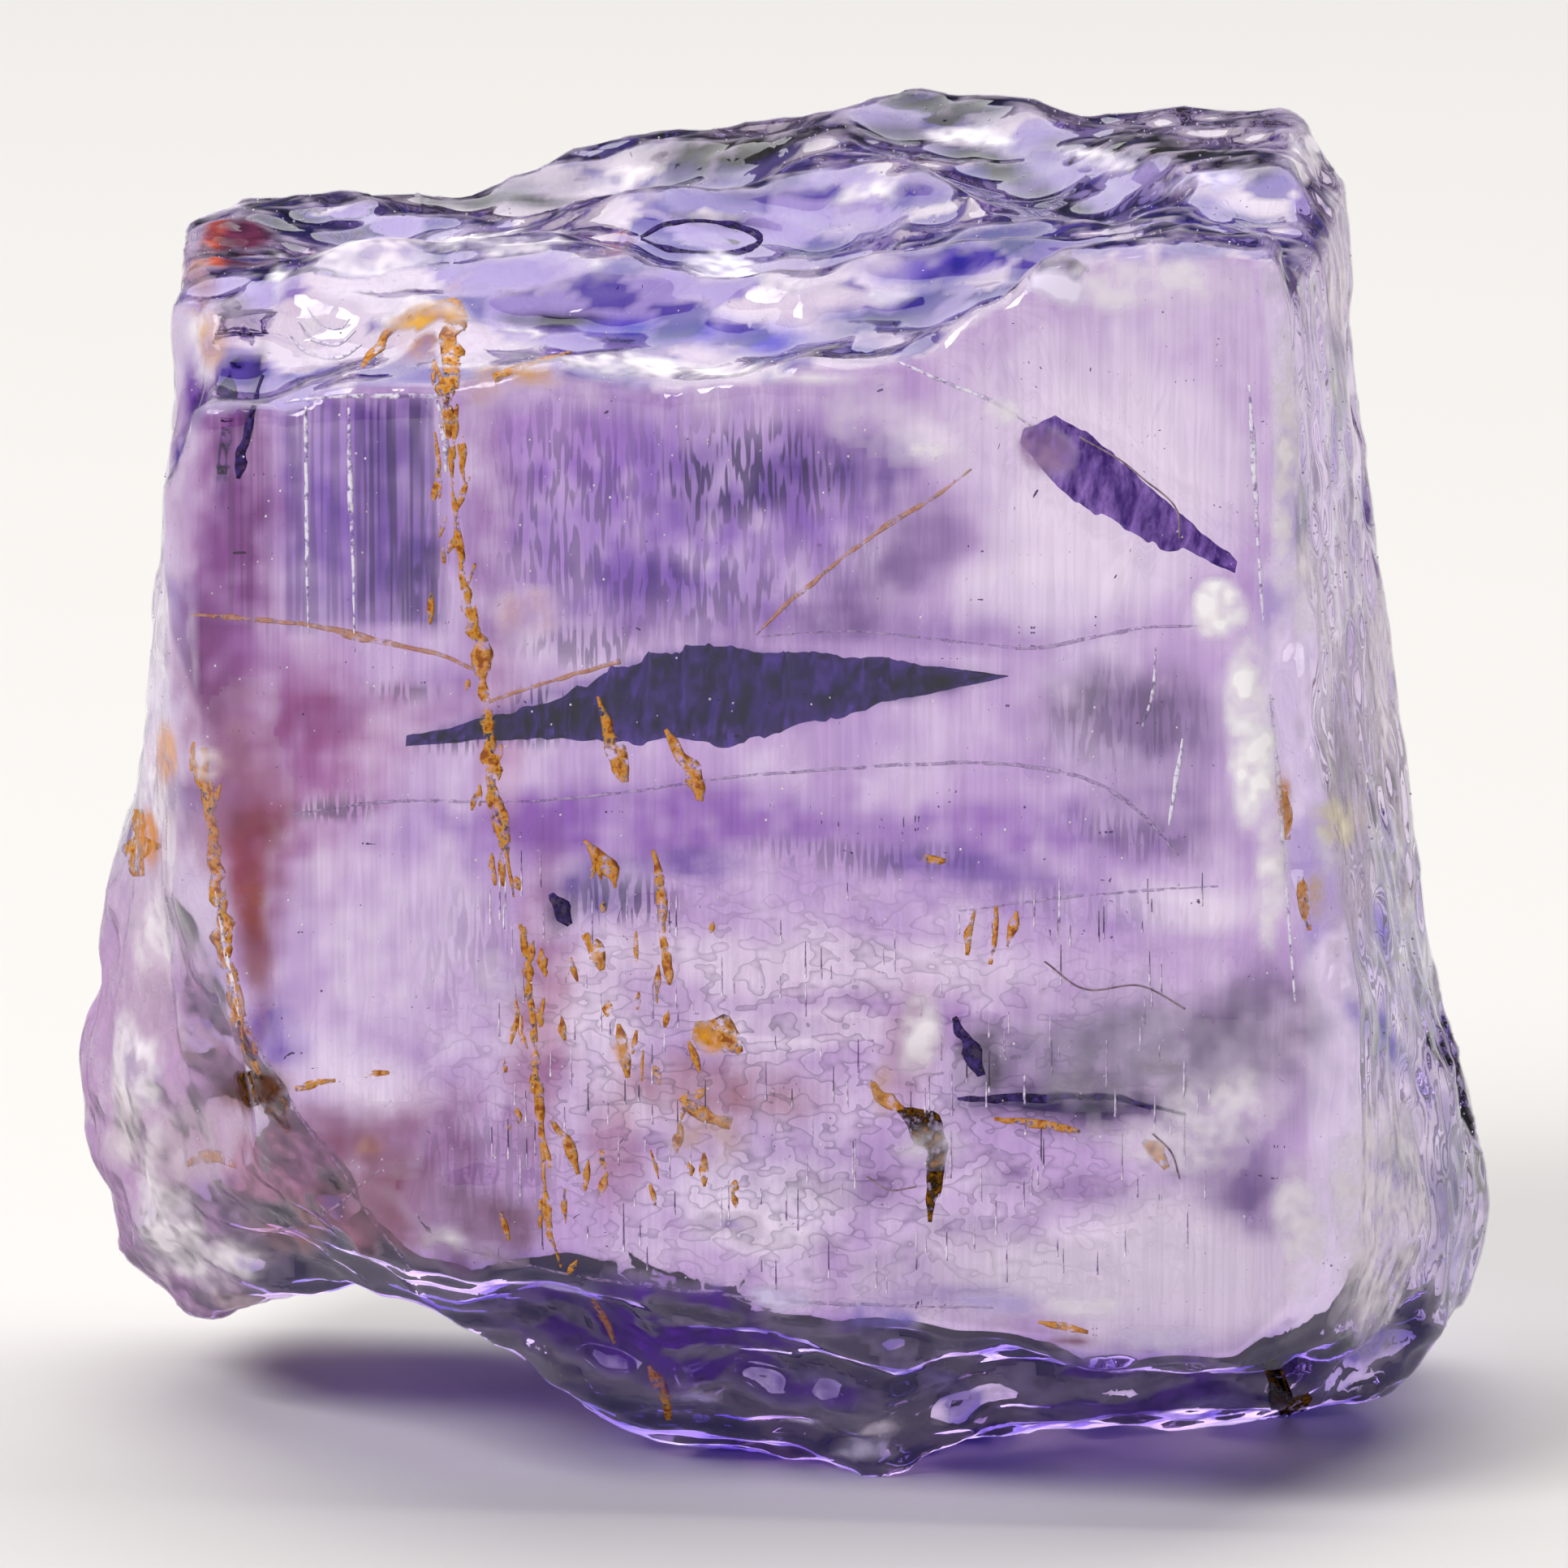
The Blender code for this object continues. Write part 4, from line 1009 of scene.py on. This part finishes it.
DARK_KNOTS = (
    ((-5.42, 4.95, 0.06), (-5.2, 4.8, 0.2), (-5.0, 4.68, 0.16), (-4.9, 4.5, 0.1), (-4.84, 4.3, 0.04)),
    ((-5.36, 5.55, 0.03), (-5.3, 5.3, 0.07), (-5.2, 5.1, 0.04)),
    ((1.95, 4.72, 0.05), (2.15, 4.58, 0.17), (2.32, 4.4, 0.19), (2.36, 4.15, 0.09), (2.33, 3.8, 0.07),
     (2.3, 3.45, 0.02)),
    ((6.2, 1.35, 0.04), (6.35, 1.5, 0.1), (6.5, 1.6, 0.04)),
)
STAINED_LINES = (
    ((-5.85, 10.08, 0.015), (-5.27, 10.05, 0.03), (-4.55, 9.99, 0.02), (-4.1, 9.89, 0.04),
     (-3.47, 9.76, 0.03), (-3.07, 9.67, 0.02), (-2.6, 9.46, 0.02)),
    ((-2.58, 9.17, 0.02), (-2.04, 9.36, 0.02), (-1.5, 9.53, 0.03), (-1.12, 9.65, 0.04)),
    ((2.73, 11.83, 0.01), (2.33, 11.51, 0.02), (1.89, 11.24, 0.03), (1.44, 10.92, 0.02),
     (1.0, 10.55, 0.025), (0.64, 10.24, 0.02), (0.38, 9.96, 0.01)),
    ((-5.45, 6.2, 0.02), (-5.38, 5.9, 0.03), (-5.3, 5.6, 0.02)),
)
FINE_LINES = (
    ((-5.3, 5.55, 0.015), (-5.04, 5.05, 0.02), (-4.59, 4.33, 0.02), (-4.23, 3.88, 0.015),
     (-3.96, 3.43, 0.02), (-3.69, 3.07, 0.015), (-3.47, 2.78, 0.01)),
    ((-4.74, 7.88, 0.01), (-3.66, 8.04, 0.016), (-2.22, 8.07, 0.014), (-1.15, 8.18, 0.016),
     (0.11, 8.38, 0.014), (1.71, 8.53, 0.018), (2.96, 8.59, 0.02), (3.94, 8.45, 0.02), (4.56, 8.1, 0.02),
     (5.01, 7.6, 0.01)),
    ((0.38, 9.94, 0.01), (1.44, 10.02, 0.014), (2.78, 9.91, 0.014), (3.49, 9.88, 0.02),
     (4.55, 10.1, 0.02), (5.26, 10.15, 0.01)),
    ((2.61, 6.94, 0.01), (3.68, 7.1, 0.016), (4.57, 7.2, 0.016), (5.45, 7.27, 0.01)),
    ((-3.2, 3.1, 0.01), (-1.6, 2.75, 0.016), (0.3, 2.55, 0.02), (1.6, 2.5, 0.02), (3.0, 2.5, 0.01)),
    ((-5.8, 3.0, 0.01), (-4.6, 3.3, 0.02), (-3.8, 3.9, 0.01)),
)
DARK_MARKS = (
    ((-0.88, 14.32, 0.02), (-0.6, 14.47, 0.03), (-0.2, 14.5, 0.02), (0.2, 14.44, 0.04),
     (0.42, 14.3, 0.05), (0.2, 14.17, 0.03), (-0.2, 14.16, 0.02), (-0.6, 14.2, 0.03), (-0.88, 14.3, 0.02)),
    ((-5.5, 13.5, 0.03), (-5.4, 13.53, 0.1), (-5.28, 13.48, 0.04)),
    ((-5.05, 12.75, 0.02), (-5.18, 12.3, 0.04), (-5.3, 11.8, 0.06), (-5.33, 11.6, 0.02)),
    ((-1.88, 7.05, 0.03), (-1.78, 6.85, 0.1), (-1.68, 6.7, 0.03)),
    ((2.55, 5.75, 0.03), (2.75, 5.4, 0.1), (2.85, 5.1, 0.05)),
    ((2.6, 4.84, 0.02), (3.3, 4.86, 0.05), (4.2, 4.9, 0.04), (5.1, 4.72, 0.02)),
    ((-6.4, 2.9, 0.01), (-6.1, 2.6, 0.03), (-5.9, 2.4, 0.01)),
)
# Painted highlights: pale lines where ridges, edges and striations catch the light
HIGHLIGHT_LINES = (
    ((-4.75, 13.2, 0.01), (-4.55, 13.0, 0.02), (-4.2, 12.95, 0.025), (-3.95, 13.1, 0.01)),
    ((-4.65, 13.35, 0.01), (-4.5, 13.15, 0.02), (-4.2, 13.1, 0.02), (-4.02, 13.25, 0.01)),
    ((-4.55, 13.5, 0.01), (-4.42, 13.33, 0.015), (-4.2, 13.26, 0.015), (-4.08, 13.38, 0.01)),
    ((1.9, 13.0, 0.01), (2.4, 12.8, 0.025), (3.0, 12.55, 0.02), (3.4, 12.3, 0.01)),
    ((5.05, 8.9, 0.01), (4.98, 8.4, 0.03), (4.9, 7.9, 0.01)),
    ((5.75, 12.8, 0.02), (5.8, 12.0, 0.03), (5.86, 11.0, 0.02), (5.92, 10.2, 0.01)),
    ((6.0, 9.4, 0.01), (6.1, 8.4, 0.03), (6.2, 7.2, 0.02), (6.3, 6.0, 0.01)),
    ((-4.57, 12.4, 0.02), (-4.57, 11.6, 0.025), (-4.57, 10.6, 0.02), (-4.56, 9.9, 0.01)),
    ((-4.1, 12.4, 0.015), (-4.09, 11.6, 0.03), (-4.06, 10.6, 0.02), (-4.05, 9.7, 0.01)),
    ((-4.8, 12.46, 0.015), (-4.2, 12.52, 0.02), (-3.6, 12.54, 0.03), (-3.1, 12.54, 0.02)),
    ((-3.12, 12.5, 0.02), (-3.05, 12.1, 0.04), (-3.03, 11.7, 0.015)),
    ((-5.62, 7.0, 0.01), (-5.52, 6.4, 0.03), (-5.42, 5.9, 0.04), (-5.36, 5.6, 0.01)),
    ((4.75, 9.9, 0.01), (4.72, 9.4, 0.02), (4.6, 9.0, 0.01)),
)

# The lens-shaped fracture, whose dark reflection is painted on it: its upper and lower edges as (x, z),
# seen from the front, how far behind the front its lower edge lies, and how far it leans back from there
LENS_TOP = ((-3.5, 8.78), (-2.6, 9.0), (-1.9, 9.2), (-1.14, 9.62), (-0.25, 9.86), (1.0, 9.79),
            (2.07, 9.7), (3.15, 9.56))
LENS_FOOT = ((-3.5, 8.66), (-2.6, 8.74), (-1.9, 8.75), (-0.97, 8.78), (0.11, 8.74), (1.0, 9.0),
             (2.07, 9.28), (3.15, 9.55))
LENS_FRONT = 0.35
LENS_RUN = 1.5

# The dark wedge below the chip on the upper right, a sheet of painted shade where the step face lies in
# shadow, in the same way
WEDGE_TOP = ((3.25, 12.2), (3.6, 12.38), (3.95, 12.2), (4.6, 11.68), (5.1, 11.22), (5.6, 10.74))
WEDGE_FOOT = ((3.25, 12.1), (3.6, 11.72), (4.0, 11.38), (4.5, 11.12), (5.0, 10.93), (5.6, 10.7))
WEDGE_RUN = 0.7

# The dark sheets' points across and up, their thickness, and how far the camera's line of sight,
# bent by the crystal, moves to the left and down for each millimetre of depth
SHEET_GRID = (120, 14)
SHEET_WALL = 0.10
SIGHT_LEFT = 0.068
SIGHT_DOWN = 0.113

# Dust fibres on the surface: (x, z)
FIBRES = (
    ((3.9, 12.2), (4.35, 11.95), (4.6, 11.75), (4.95, 11.45), (5.0, 11.1)),
    ((4.75, 4.5), (4.95, 4.3), (5.05, 4.0)),
    ((1.6, 3.95), (1.85, 3.8), (2.15, 3.85)),
    ((3.55, 6.4), (4.0, 6.1), (4.6, 6.15), (5.1, 5.9)),
)
FIBRE_WIDTH = 0.022
FIBRE_LIFT = 0.02

# Growth tubes and dust: the small shape, how many there are in a square metre, and the smallest
# and largest size of one
TUBE_SHAPE = {"Vertices": 5, "Side Segments": 1, "Fill Segments": 1, "Radius Top": 0.000005,
              "Radius Bottom": 0.000013, "Depth": 0.0004}
TUBES_SPREAD = (4e6, 0.3, 1.4)
SPECK_SHAPE = {"Radius": 0.000010, "Subdivisions": 1}
SPECKS_SPREAD = (4e6, 0.6, 1.7)


def flecks(path, count, spread, seed):
    """Short, nearly upright flecks scattered about a path."""
    draw = np.random.default_rng(seed)
    stops = smooth_path(path, RIBBON_STEP)
    made = []
    for x, z, _ in stops[draw.integers(0, len(stops), count)]:
        x += draw.normal(0, spread)
        tall = draw.uniform(0.05, 0.22)
        wide = draw.uniform(0.02, 0.055)
        lean = draw.normal(0, 0.03)
        made.append(((x - lean, z + tall, FLECK_TIP), (x, z, wide), (x + lean, z - tall, FLECK_TIP)))
    return tuple(made)


def ribbons(name, surface, paths, material, first_seed, proud, ragged):
    """One piece made of all the ribbons of a kind."""
    shape = bmesh.new()
    for number, stops in enumerate(paths):
        add_crust(shape, surface, stops, first_seed + number, proud, ragged)
    return finish_piece(shape, name, material)


def add_lens(shape, grid, thickness):
    """A thin closed lens: two sheets of the grid's points that meet all round its edge."""
    normals = []
    for row in range(len(grid)):
        for column in range(len(grid[0])):
            ahead = grid[row][min(column + 1, len(grid[0]) - 1)] - grid[row][max(column - 1, 0)]
            above = grid[min(row + 1, len(grid) - 1)][column] - grid[max(row - 1, 0)][column]
            normals.append(ahead.cross(above).normalized())
    sheets = []
    for side in (-0.5, 0.5):
        sheet = []
        for row, line in enumerate(grid):
            share_up = math.sin(math.pi * row / (len(grid) - 1))
            for column, point in enumerate(line):
                share = share_up * math.sin(math.pi * column / (len(line) - 1))
                normal = normals[row * len(line) + column]
                sheet.append(shape.verts.new(point + normal * side * thickness * share))
        sheets.append(sheet)
    wide = len(grid[0])
    for sheet in sheets:
        for row in range(len(grid) - 1):
            for column in range(wide - 1):
                first = row * wide + column
                corners = [sheet[first], sheet[first + 1], sheet[first + wide + 1], sheet[first + wide]]
                shape.faces.new(corners if sheet is sheets[0] else corners[::-1])
    bmesh.ops.remove_doubles(shape, verts=shape.verts, dist=0.0005)


def behind(x, z, depth):
    """The point inside the crystal at that depth that the camera sees at (x, z) on the front face."""
    return Vector((x - SIGHT_LEFT * depth, FRONT_Y + depth, z - SIGHT_DOWN * depth))


def inner_dark_sheet(name, top, foot, run, material):
    """A thin sheet inside the crystal that leans back, between a top and a foot edge of (x, z), used for the
    lens-shaped fracture and for the wedge's sheet of painted shade.
    """
    columns, rows = SHEET_GRID
    across = np.linspace(top[0][0], top[-1][0], columns)
    line = np.stack([across, across * 0, across * 0], 1)
    taper = np.sin(np.linspace(0, math.pi, columns))

    def ragged(edge, coarse, fine, seed):
        """The heights of an edge, ragged between its ends."""
        edge_x, edge_z = np.array(edge).T
        rough = 0.06 * lumps(line, (coarse, 1, 1), seed) + 0.03 * lumps(line, (fine, 1, 1), seed + 1)
        return np.interp(across, edge_x, edge_z) + taper * rough

    high = ragged(top, 0.35, 0.09, 5)
    low = np.minimum(ragged(foot, 0.3, 0.08, 7), high - 0.01)
    grid = []
    for row in range(rows):
        share = row / (rows - 1)
        grid.append([behind(x, low[i] + share * (high[i] - low[i]), LENS_FRONT + run * share)
                     for i, x in enumerate(across)])
    shape = bmesh.new()
    add_lens(shape, grid, SHEET_WALL)
    return finish_piece(shape, name, material)


def fibres(surface):
    """Dust fibres that lie on the crystal."""
    shape = bmesh.new()
    for stops in FIBRES:
        middles = []
        for x, z, _ in smooth_path([(x, z, 0.0) for x, z in stops], 0.04):
            place, normal = surface.seen_at(x, z)
            middles.append(place + normal * FIBRE_LIFT)
        rings = []
        for before, middle, after in zip(middles[:1] + middles, middles, middles[1:] + middles[-1:]):
            along = (after - before).normalized()
            side = along.cross(Vector((0, 1, 0))).normalized()
            up = side.cross(along)
            ring = []
            for corner in range(5):
                turn = math.tau * corner / 5
                out = side * math.cos(turn) + up * math.sin(turn)
                ring.append(shape.verts.new(middle + out * FIBRE_WIDTH / 2))
            rings.append(ring)
        close_rings(shape, rings)
    return finish_piece(shape, "dust_fibres", matt_film("dust fibre", ("#6E5A68", "#A08C94"), 1.0))


def scatter_tree(name, shape_kind, shape_settings, material, upright):
    """A node tree that scatters one small shape over the faces of its mesh, at random sizes."""
    tree = bpy.data.node_groups.new(name, "GeometryNodeTree")
    tree.is_modifier = True
    tree.interface.new_socket("Geometry", in_out="INPUT", socket_type="NodeSocketGeometry")
    for socket in ("Number in a square metre", "Smallest size", "Largest size"):
        tree.interface.new_socket(socket, in_out="INPUT", socket_type="NodeSocketFloat")
    tree.interface.new_socket("Geometry", in_out="OUTPUT", socket_type="NodeSocketGeometry")
    given = add_node(tree, "NodeGroupInput")
    spread = add_node(tree, "GeometryNodeDistributePointsOnFaces", {"Seed": 5}, {
        "Mesh": given.outputs["Geometry"], "Density": given.outputs["Number in a square metre"]})
    small = add_node(tree, shape_kind, shape_settings)
    size = add_node(tree, "FunctionNodeRandomValue", {"data_type": "FLOAT", "Seed": 9})
    tree.links.new(given.outputs["Smallest size"], size.inputs[2])
    tree.links.new(given.outputs["Largest size"], size.inputs[3])
    place = add_node(tree, "GeometryNodeInstanceOnPoints", links={
        "Points": spread.outputs["Points"], "Instance": small.outputs["Mesh"]})
    if upright:
        stretch = add_node(tree, "ShaderNodeCombineXYZ", {"X": 1.0, "Y": 1.0}, {"Z": size.outputs[1]})
        tree.links.new(stretch.outputs["Vector"], place.inputs["Scale"])
    else:
        tree.links.new(size.outputs[1], place.inputs["Scale"])
    real = add_node(tree, "GeometryNodeRealizeInstances", links={"Geometry": place.outputs["Instances"]})
    dressed = add_node(tree, "GeometryNodeSetMaterial", {"Material": material},
                       {"Geometry": real.outputs["Geometry"]})
    add_node(tree, "NodeGroupOutput", links={"Geometry": dressed.outputs["Geometry"]})
    return tree


def scattered(name, host, tree, density, smallest, largest):
    """The mesh of small shapes that a scatter tree makes on a host mesh, which is then dropped."""
    made = add_object(name, host)
    modifier = made.modifiers.new("scatter", "NODES")
    modifier.node_group = tree
    values = {"Number in a square metre": density, "Smallest size": smallest, "Largest size": largest}
    for item in tree.interface.items_tree:
        if item.in_out == "INPUT" and item.name in values:
            modifier[item.identifier] = float(values[item.name])
    as_mesh(made)
    bpy.data.meshes.remove(host)
    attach(made, "root")
    return made


def some_faces(body, wanted):
    """A mesh of the body's faces that are wanted."""
    shape = bmesh.new()
    shape.from_mesh(body.data)
    bmesh.ops.delete(shape, geom=[face for face in shape.faces if not wanted(face)], context="FACES")
    return mesh_of(shape, "some faces")


def growth_tubes(body):
    """The mouths of fine upright tubes that the crystal grew round, open along its front face."""
    def etched(face):
        x, y, z = face.calc_center_median() / MM
        return face.normal.y < -0.8 and y < FRONT_Y + 0.6 and -2.6 < x < 5.4 and 2.6 < z < 7.2

    pale = matt_film("growth tube", ("#8A6C9C", "#C4B0D0", "#F0E6F4"), 1.0)
    tubes = scatter_tree("tubes", "GeometryNodeMeshCone", TUBE_SHAPE, pale, True)
    scattered("growth_tubes", some_faces(body, etched), tubes, *TUBES_SPREAD)


def dust(body):
    """Pale specks of dust on the faces of the crystal."""
    pale = matt_film("dust", ("#B9A9BE", "#F2E9F2"), 1.0)
    specks = scatter_tree("specks", "GeometryNodeMeshIcoSphere", SPECK_SHAPE, pale, False)
    scattered("dust_specks", some_faces(body, lambda face: face.normal.z > -0.3), specks, *SPECKS_SPREAD)


# Materials

def new_material(name, settings):
    """A new material with its node tree and its shader, some of whose inputs are set."""
    material = bpy.data.materials.new(name)
    material.use_nodes = True
    shader = material.node_tree.nodes["Principled BSDF"]
    for setting, value in settings.items():
        shader.inputs[setting].default_value = value
    return material, material.node_tree, shader


def grains(tree, scale, detail, roughness):
    """Noise from 0 to 1, of so many lumps in a metre along each of the crystal's own axes."""
    place = add_node(tree, "ShaderNodeTexCoord").outputs["Object"]
    stretch = add_node(tree, "ShaderNodeMapping", {"Scale": scale}, {"Vector": place})
    noise = add_node(tree, "ShaderNodeTexNoise", {"Scale": 1.0, "Detail": detail, "Roughness": roughness},
                     {"Vector": stretch.outputs["Vector"]})
    return noise.outputs["Fac"]


def clear_scapolite():
    """Clear violet scapolite, a transparent crystal of IOR about 1.55, glassy where it is broken.

    The deeper the light goes, the more violet it comes back."""
    material, tree, shader = new_material("clear violet scapolite", {"IOR": 1.55, "Transmission Weight": 1.0})
    violet = add_node(tree, "ShaderNodeVolumeAbsorption", {"Density": 27.0, "Color": (0.5, 0.22, 0.78, 1.0)})
    tree.links.new(violet.outputs["Volume"], tree.nodes["Material Output"].inputs["Volume"])
    tint_read = add_node(tree, "ShaderNodeAttribute", {"attribute_name": "tint"})
    shares = add_node(tree, "ShaderNodeAttribute", {"attribute_name": "frost_and_shade"})
    split = add_node(tree, "ShaderNodeSeparateColor", links={"Color": shares.outputs["Color"]})

    def pattern(scale, detail, start, end):
        """Noise as a share that runs from start to end."""
        share = add_node(tree, "ShaderNodeMapRange", {"From Min": start, "From Max": end},
                         {"Value": grains(tree, scale, detail, 0.6)})
        return share.outputs["Result"]

    def maths(operation, first, second):
        made = add_node(tree, "ShaderNodeMath", {"operation": operation}, {0: first})
        if isinstance(second, float):
            made.inputs[1].default_value = second
        else:
            tree.links.new(second, made.inputs[1])
        return made.outputs["Value"]

    # Striations are about 0.05 mm wide and run the height of the face. The growth tubes' mouths
    # are as wide and 0.3 mm long
    # Painted shade: the striations, the tubes' mouths and the foot of each etched step are darkened towards
    # deep violet
    lines = maths("MULTIPLY", pattern((21000, 500, 420), 0.0, 0.42, 0.62), split.outputs["Green"])
    dashes = maths("MULTIPLY", pattern((23000, 1000, 3000), 0.0, 0.47, 0.56), split.outputs["Blue"])
    # A painted shadow at the foot of each etched step, darker up to the step's edge and clear past it
    rise = pattern((3400, 3000, 5600), 1.0, 0.36, 0.52)
    steps = maths("MULTIPLY", maths("POWER", rise, 1.6), maths("LESS_THAN", rise, 0.98))
    step_shadows = maths("MULTIPLY", steps, shares.outputs["Alpha"])
    painted_shade = maths("MAXIMUM", maths("MULTIPLY", lines, 0.85), maths("MULTIPLY", dashes, 0.95))
    painted_shade = maths("MAXIMUM", painted_shade, maths("MULTIPLY", step_shadows, 0.75))
    colour = add_node(tree, "ShaderNodeMix", {"data_type": "RGBA", "blend_type": "MULTIPLY"})
    tree.links.new(painted_shade, colour.inputs[0])
    tree.links.new(tint_read.outputs["Color"], colour.inputs[6])
    # The deep violet of the painted shade
    colour.inputs[7].default_value = linear("#281E4C")
    tree.links.new(colour.outputs[2], shader.inputs["Base Color"])
    rough = maths("MULTIPLY", split.outputs["Red"], 0.45)
    tree.links.new(rough, shader.inputs["Roughness"])
    return material


def milky_weathering_and_highlights():
    """The chalky bloom of worn scapolite, white to iron-stained, matt and thin enough to see through. It also
    shows the painted highlights, white flashes of light.
    """
    material, tree, shader = new_material("milky weathering and highlights", {"Roughness": 0.6, "Specular IOR Level": 0.0})
    film = add_node(tree, "ShaderNodeAttribute", {"attribute_name": "film"})
    uneven = add_node(tree, "ShaderNodeMapRange",
                      {"From Min": 0.35, "From Max": 0.65, "To Min": 0.25, "To Max": 0.9},
                      {"Value": grains(tree, (3500, 3500, 3500), 1.0, 0.7)})
    alpha = add_node(tree, "ShaderNodeMath", {"operation": "MULTIPLY", "use_clamp": True},
                     {0: film.outputs["Alpha"], 1: uneven.outputs["Result"]})
    tree.links.new(film.outputs["Color"], shader.inputs["Base Color"])
    tree.links.new(alpha.outputs["Value"], shader.inputs["Alpha"])
    return material


def shaded(tree, values, shades, start, end):
    """Colours that run through shades evenly spaced over the values from start to end."""
    colour = add_node(tree, "ShaderNodeValToRGB", links={"Fac": values})
    stops = colour.color_ramp.elements
    for number, shade in enumerate(shades):
        position = start + (end - start) * number / (len(shades) - 1)
        stop = stops[number] if number < 2 else stops.new(position)
        stop.position = position
        stop.color = linear(shade)
    return colour.outputs["Color"]


def matt_film(name, shades, least_cover, most_cover=1.0):
    """A thin matt mineral film, patchy in shades from dark to light, with holes where it is thinnest."""
    material, tree, shader = new_material(name, {"Roughness": 0.75, "Specular IOR Level": 0.0})
    patches = grains(tree, (1000 / 0.12,) * 3, 2.0, 0.7)
    tree.links.new(shaded(tree, patches, shades, 0.34, 0.66), shader.inputs["Base Color"])
    if least_cover == 1.0:
        return material
    cover = add_node(tree, "ShaderNodeMapRange",
                     {"From Min": 0.38, "From Max": 0.52, "To Min": least_cover, "To Max": most_cover},
                     {"Value": patches})
    tree.links.new(cover.outputs["Result"], shader.inputs["Alpha"])
    return material


def painted_dark_sheet(name, darkest, lightest):
    """The dark wall of a thin sheet inside the crystal, which holds back all but some blue-violet light. Its
    darkness is painted: the lens-shaped fracture's dark reflection, and the shade of the step face under the
    chip.
    """
    material, tree, shader = new_material(name, {"Roughness": 0.0, "IOR": 1.0, "Transmission Weight": 1.0})
    zones = grains(tree, (7000, 1500, 2400), 6.0, 0.7)
    tree.links.new(shaded(tree, zones, (darkest, lightest), 0.40, 0.66), shader.inputs["Base Color"])
    return material


def floor_board():
    """Matt white board, which shows no sheen under the crystal."""
    return new_material("matt white board", {"Base Color": linear("#DCD9D5"), "Roughness": 0.9})[0]


# Stage

def floor():
    shape = bmesh.new()
    bmesh.ops.create_circle(shape, cap_ends=True, segments=96, radius=0.8)
    made = add_object("floor", mesh_of(shape, "floor"))
    made.data.materials.append(floor_board())


def turned_to(made, place, way):
    """Puts a light or camera at a place in millimetres, looking that way."""
    made.location = place * MM
    made.rotation_euler = way.to_track_quat("-Z", "Y").to_euler()


def softbox(name, place, width, height, brightness):
    """A soft rectangular light, in millimetres, whose face looks as bright as stated."""
    light = bpy.data.lights.new(name, "AREA")
    light.shape = "RECTANGLE"
    light.size = width * MM
    light.size_y = height * MM
    light.energy = brightness * math.pi * light.size * light.size_y
    turned_to(add_object(name, light), Vector(place), Vector(LIGHT_AIM) - Vector(place))


def camera():
    place, back = camera_place()
    data = bpy.data.cameras.new("camera")
    data.lens = CAMERA_LENS
    data.sensor_width = 36.0
    data.clip_start = 0.005
    data.clip_end = 5.0
    made = add_object("camera", data)
    turned_to(made, place, -back)
    bpy.context.scene.camera = made


def world():
    made = bpy.data.worlds.new("studio")
    made.use_nodes = True
    background = made.node_tree.nodes["Background"]
    background.inputs["Color"].default_value = linear("#D9DCE4")
    background.inputs["Strength"].default_value = 0.12
    bpy.context.scene.world = made


camera()
body, cover = crystal_body()
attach(body, "root")
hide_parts("scapolite_crystal")
surface = Surface(body)
weathered_film_and_highlights(body, cover)
limonite = matt_film("limonite", ("#F0D2A4", "#E8AE5C", "#D08A34", "#9A5624"), 0.0, 0.85)
goethite = matt_film("goethite", ("#160C04", "#3A240A", "#8A5A1C"), 0.3)
stained = matt_film("stained crack", ("#E4B890", "#B87C64"), 0.1, 0.7)
dark = matt_film("dark crack", ("#1A1030", "#4A3A78"), 0.5)
fine = matt_film("fine crack", ("#8E70A8", "#CDB8DC"), 0.0, 0.6)
# Painted highlights along ridges, edges and striations
pale = matt_film("ridge highlight", ("#CFC0E4", "#F4EDFA"), 0.1, 0.9)
vein_flecks = flecks(MAIN_VEIN[0], 40, 0.16, 1) + flecks(MAIN_VEIN[1], 24, 0.2, 2)
vein_flecks += flecks(EDGE_VEIN[0], 16, 0.08, 3)
vein_flecks += flecks(((-1.4, 7.6, 0), (-0.9, 5.4, 0), (-0.3, 3.6, 0)), 26, 0.45, 4)
for name, paths, material, first_seed, proud, ragged in (
        ("iron_vein", MAIN_VEIN + EDGE_VEIN, limonite, 100, 0.012, 0.75),
        ("iron_flecks", vein_flecks, limonite, 700, 0.012, 0.45),
        ("iron_flames", FLAMES, limonite, 200, 0.012, 0.45),
        ("goethite_knots", DARK_KNOTS, goethite, 300, 0.012, 0.45),
        ("stained_lines", STAINED_LINES, stained, 400, 0.012, 0.45),
        ("dark_marks", DARK_MARKS, dark, 900, 0.008, 0.45),
        ("fine_lines", FINE_LINES, fine, 500, 0.006, 0.45),
        ("highlight_lines", HIGHLIGHT_LINES, pale, 600, 0.012, 0.3)):
    ribbons(name, surface, paths, material, first_seed, proud, ragged)
# Painted dark reflection: the lens-shaped fracture
slate_blue = painted_dark_sheet("slate-blue fracture painted dark", "#1A0A48", "#6C54B0")
inner_dark_sheet("dark_lens", LENS_TOP, LENS_FOOT, LENS_RUN, slate_blue)
# Painted shade: the step face under the chip, in shadow
violet = painted_dark_sheet("violet painted shade", "#3E2670", "#A88CD2")
inner_dark_sheet("shaded_wedge", WEDGE_TOP, WEDGE_FOOT, WEDGE_RUN, violet)
fibres(surface)
growth_tubes(body)
dust(body)
floor()
for light in LIGHTS:
    softbox(*light)
world()
bpy.context.scene.view_settings.view_transform = "Standard"
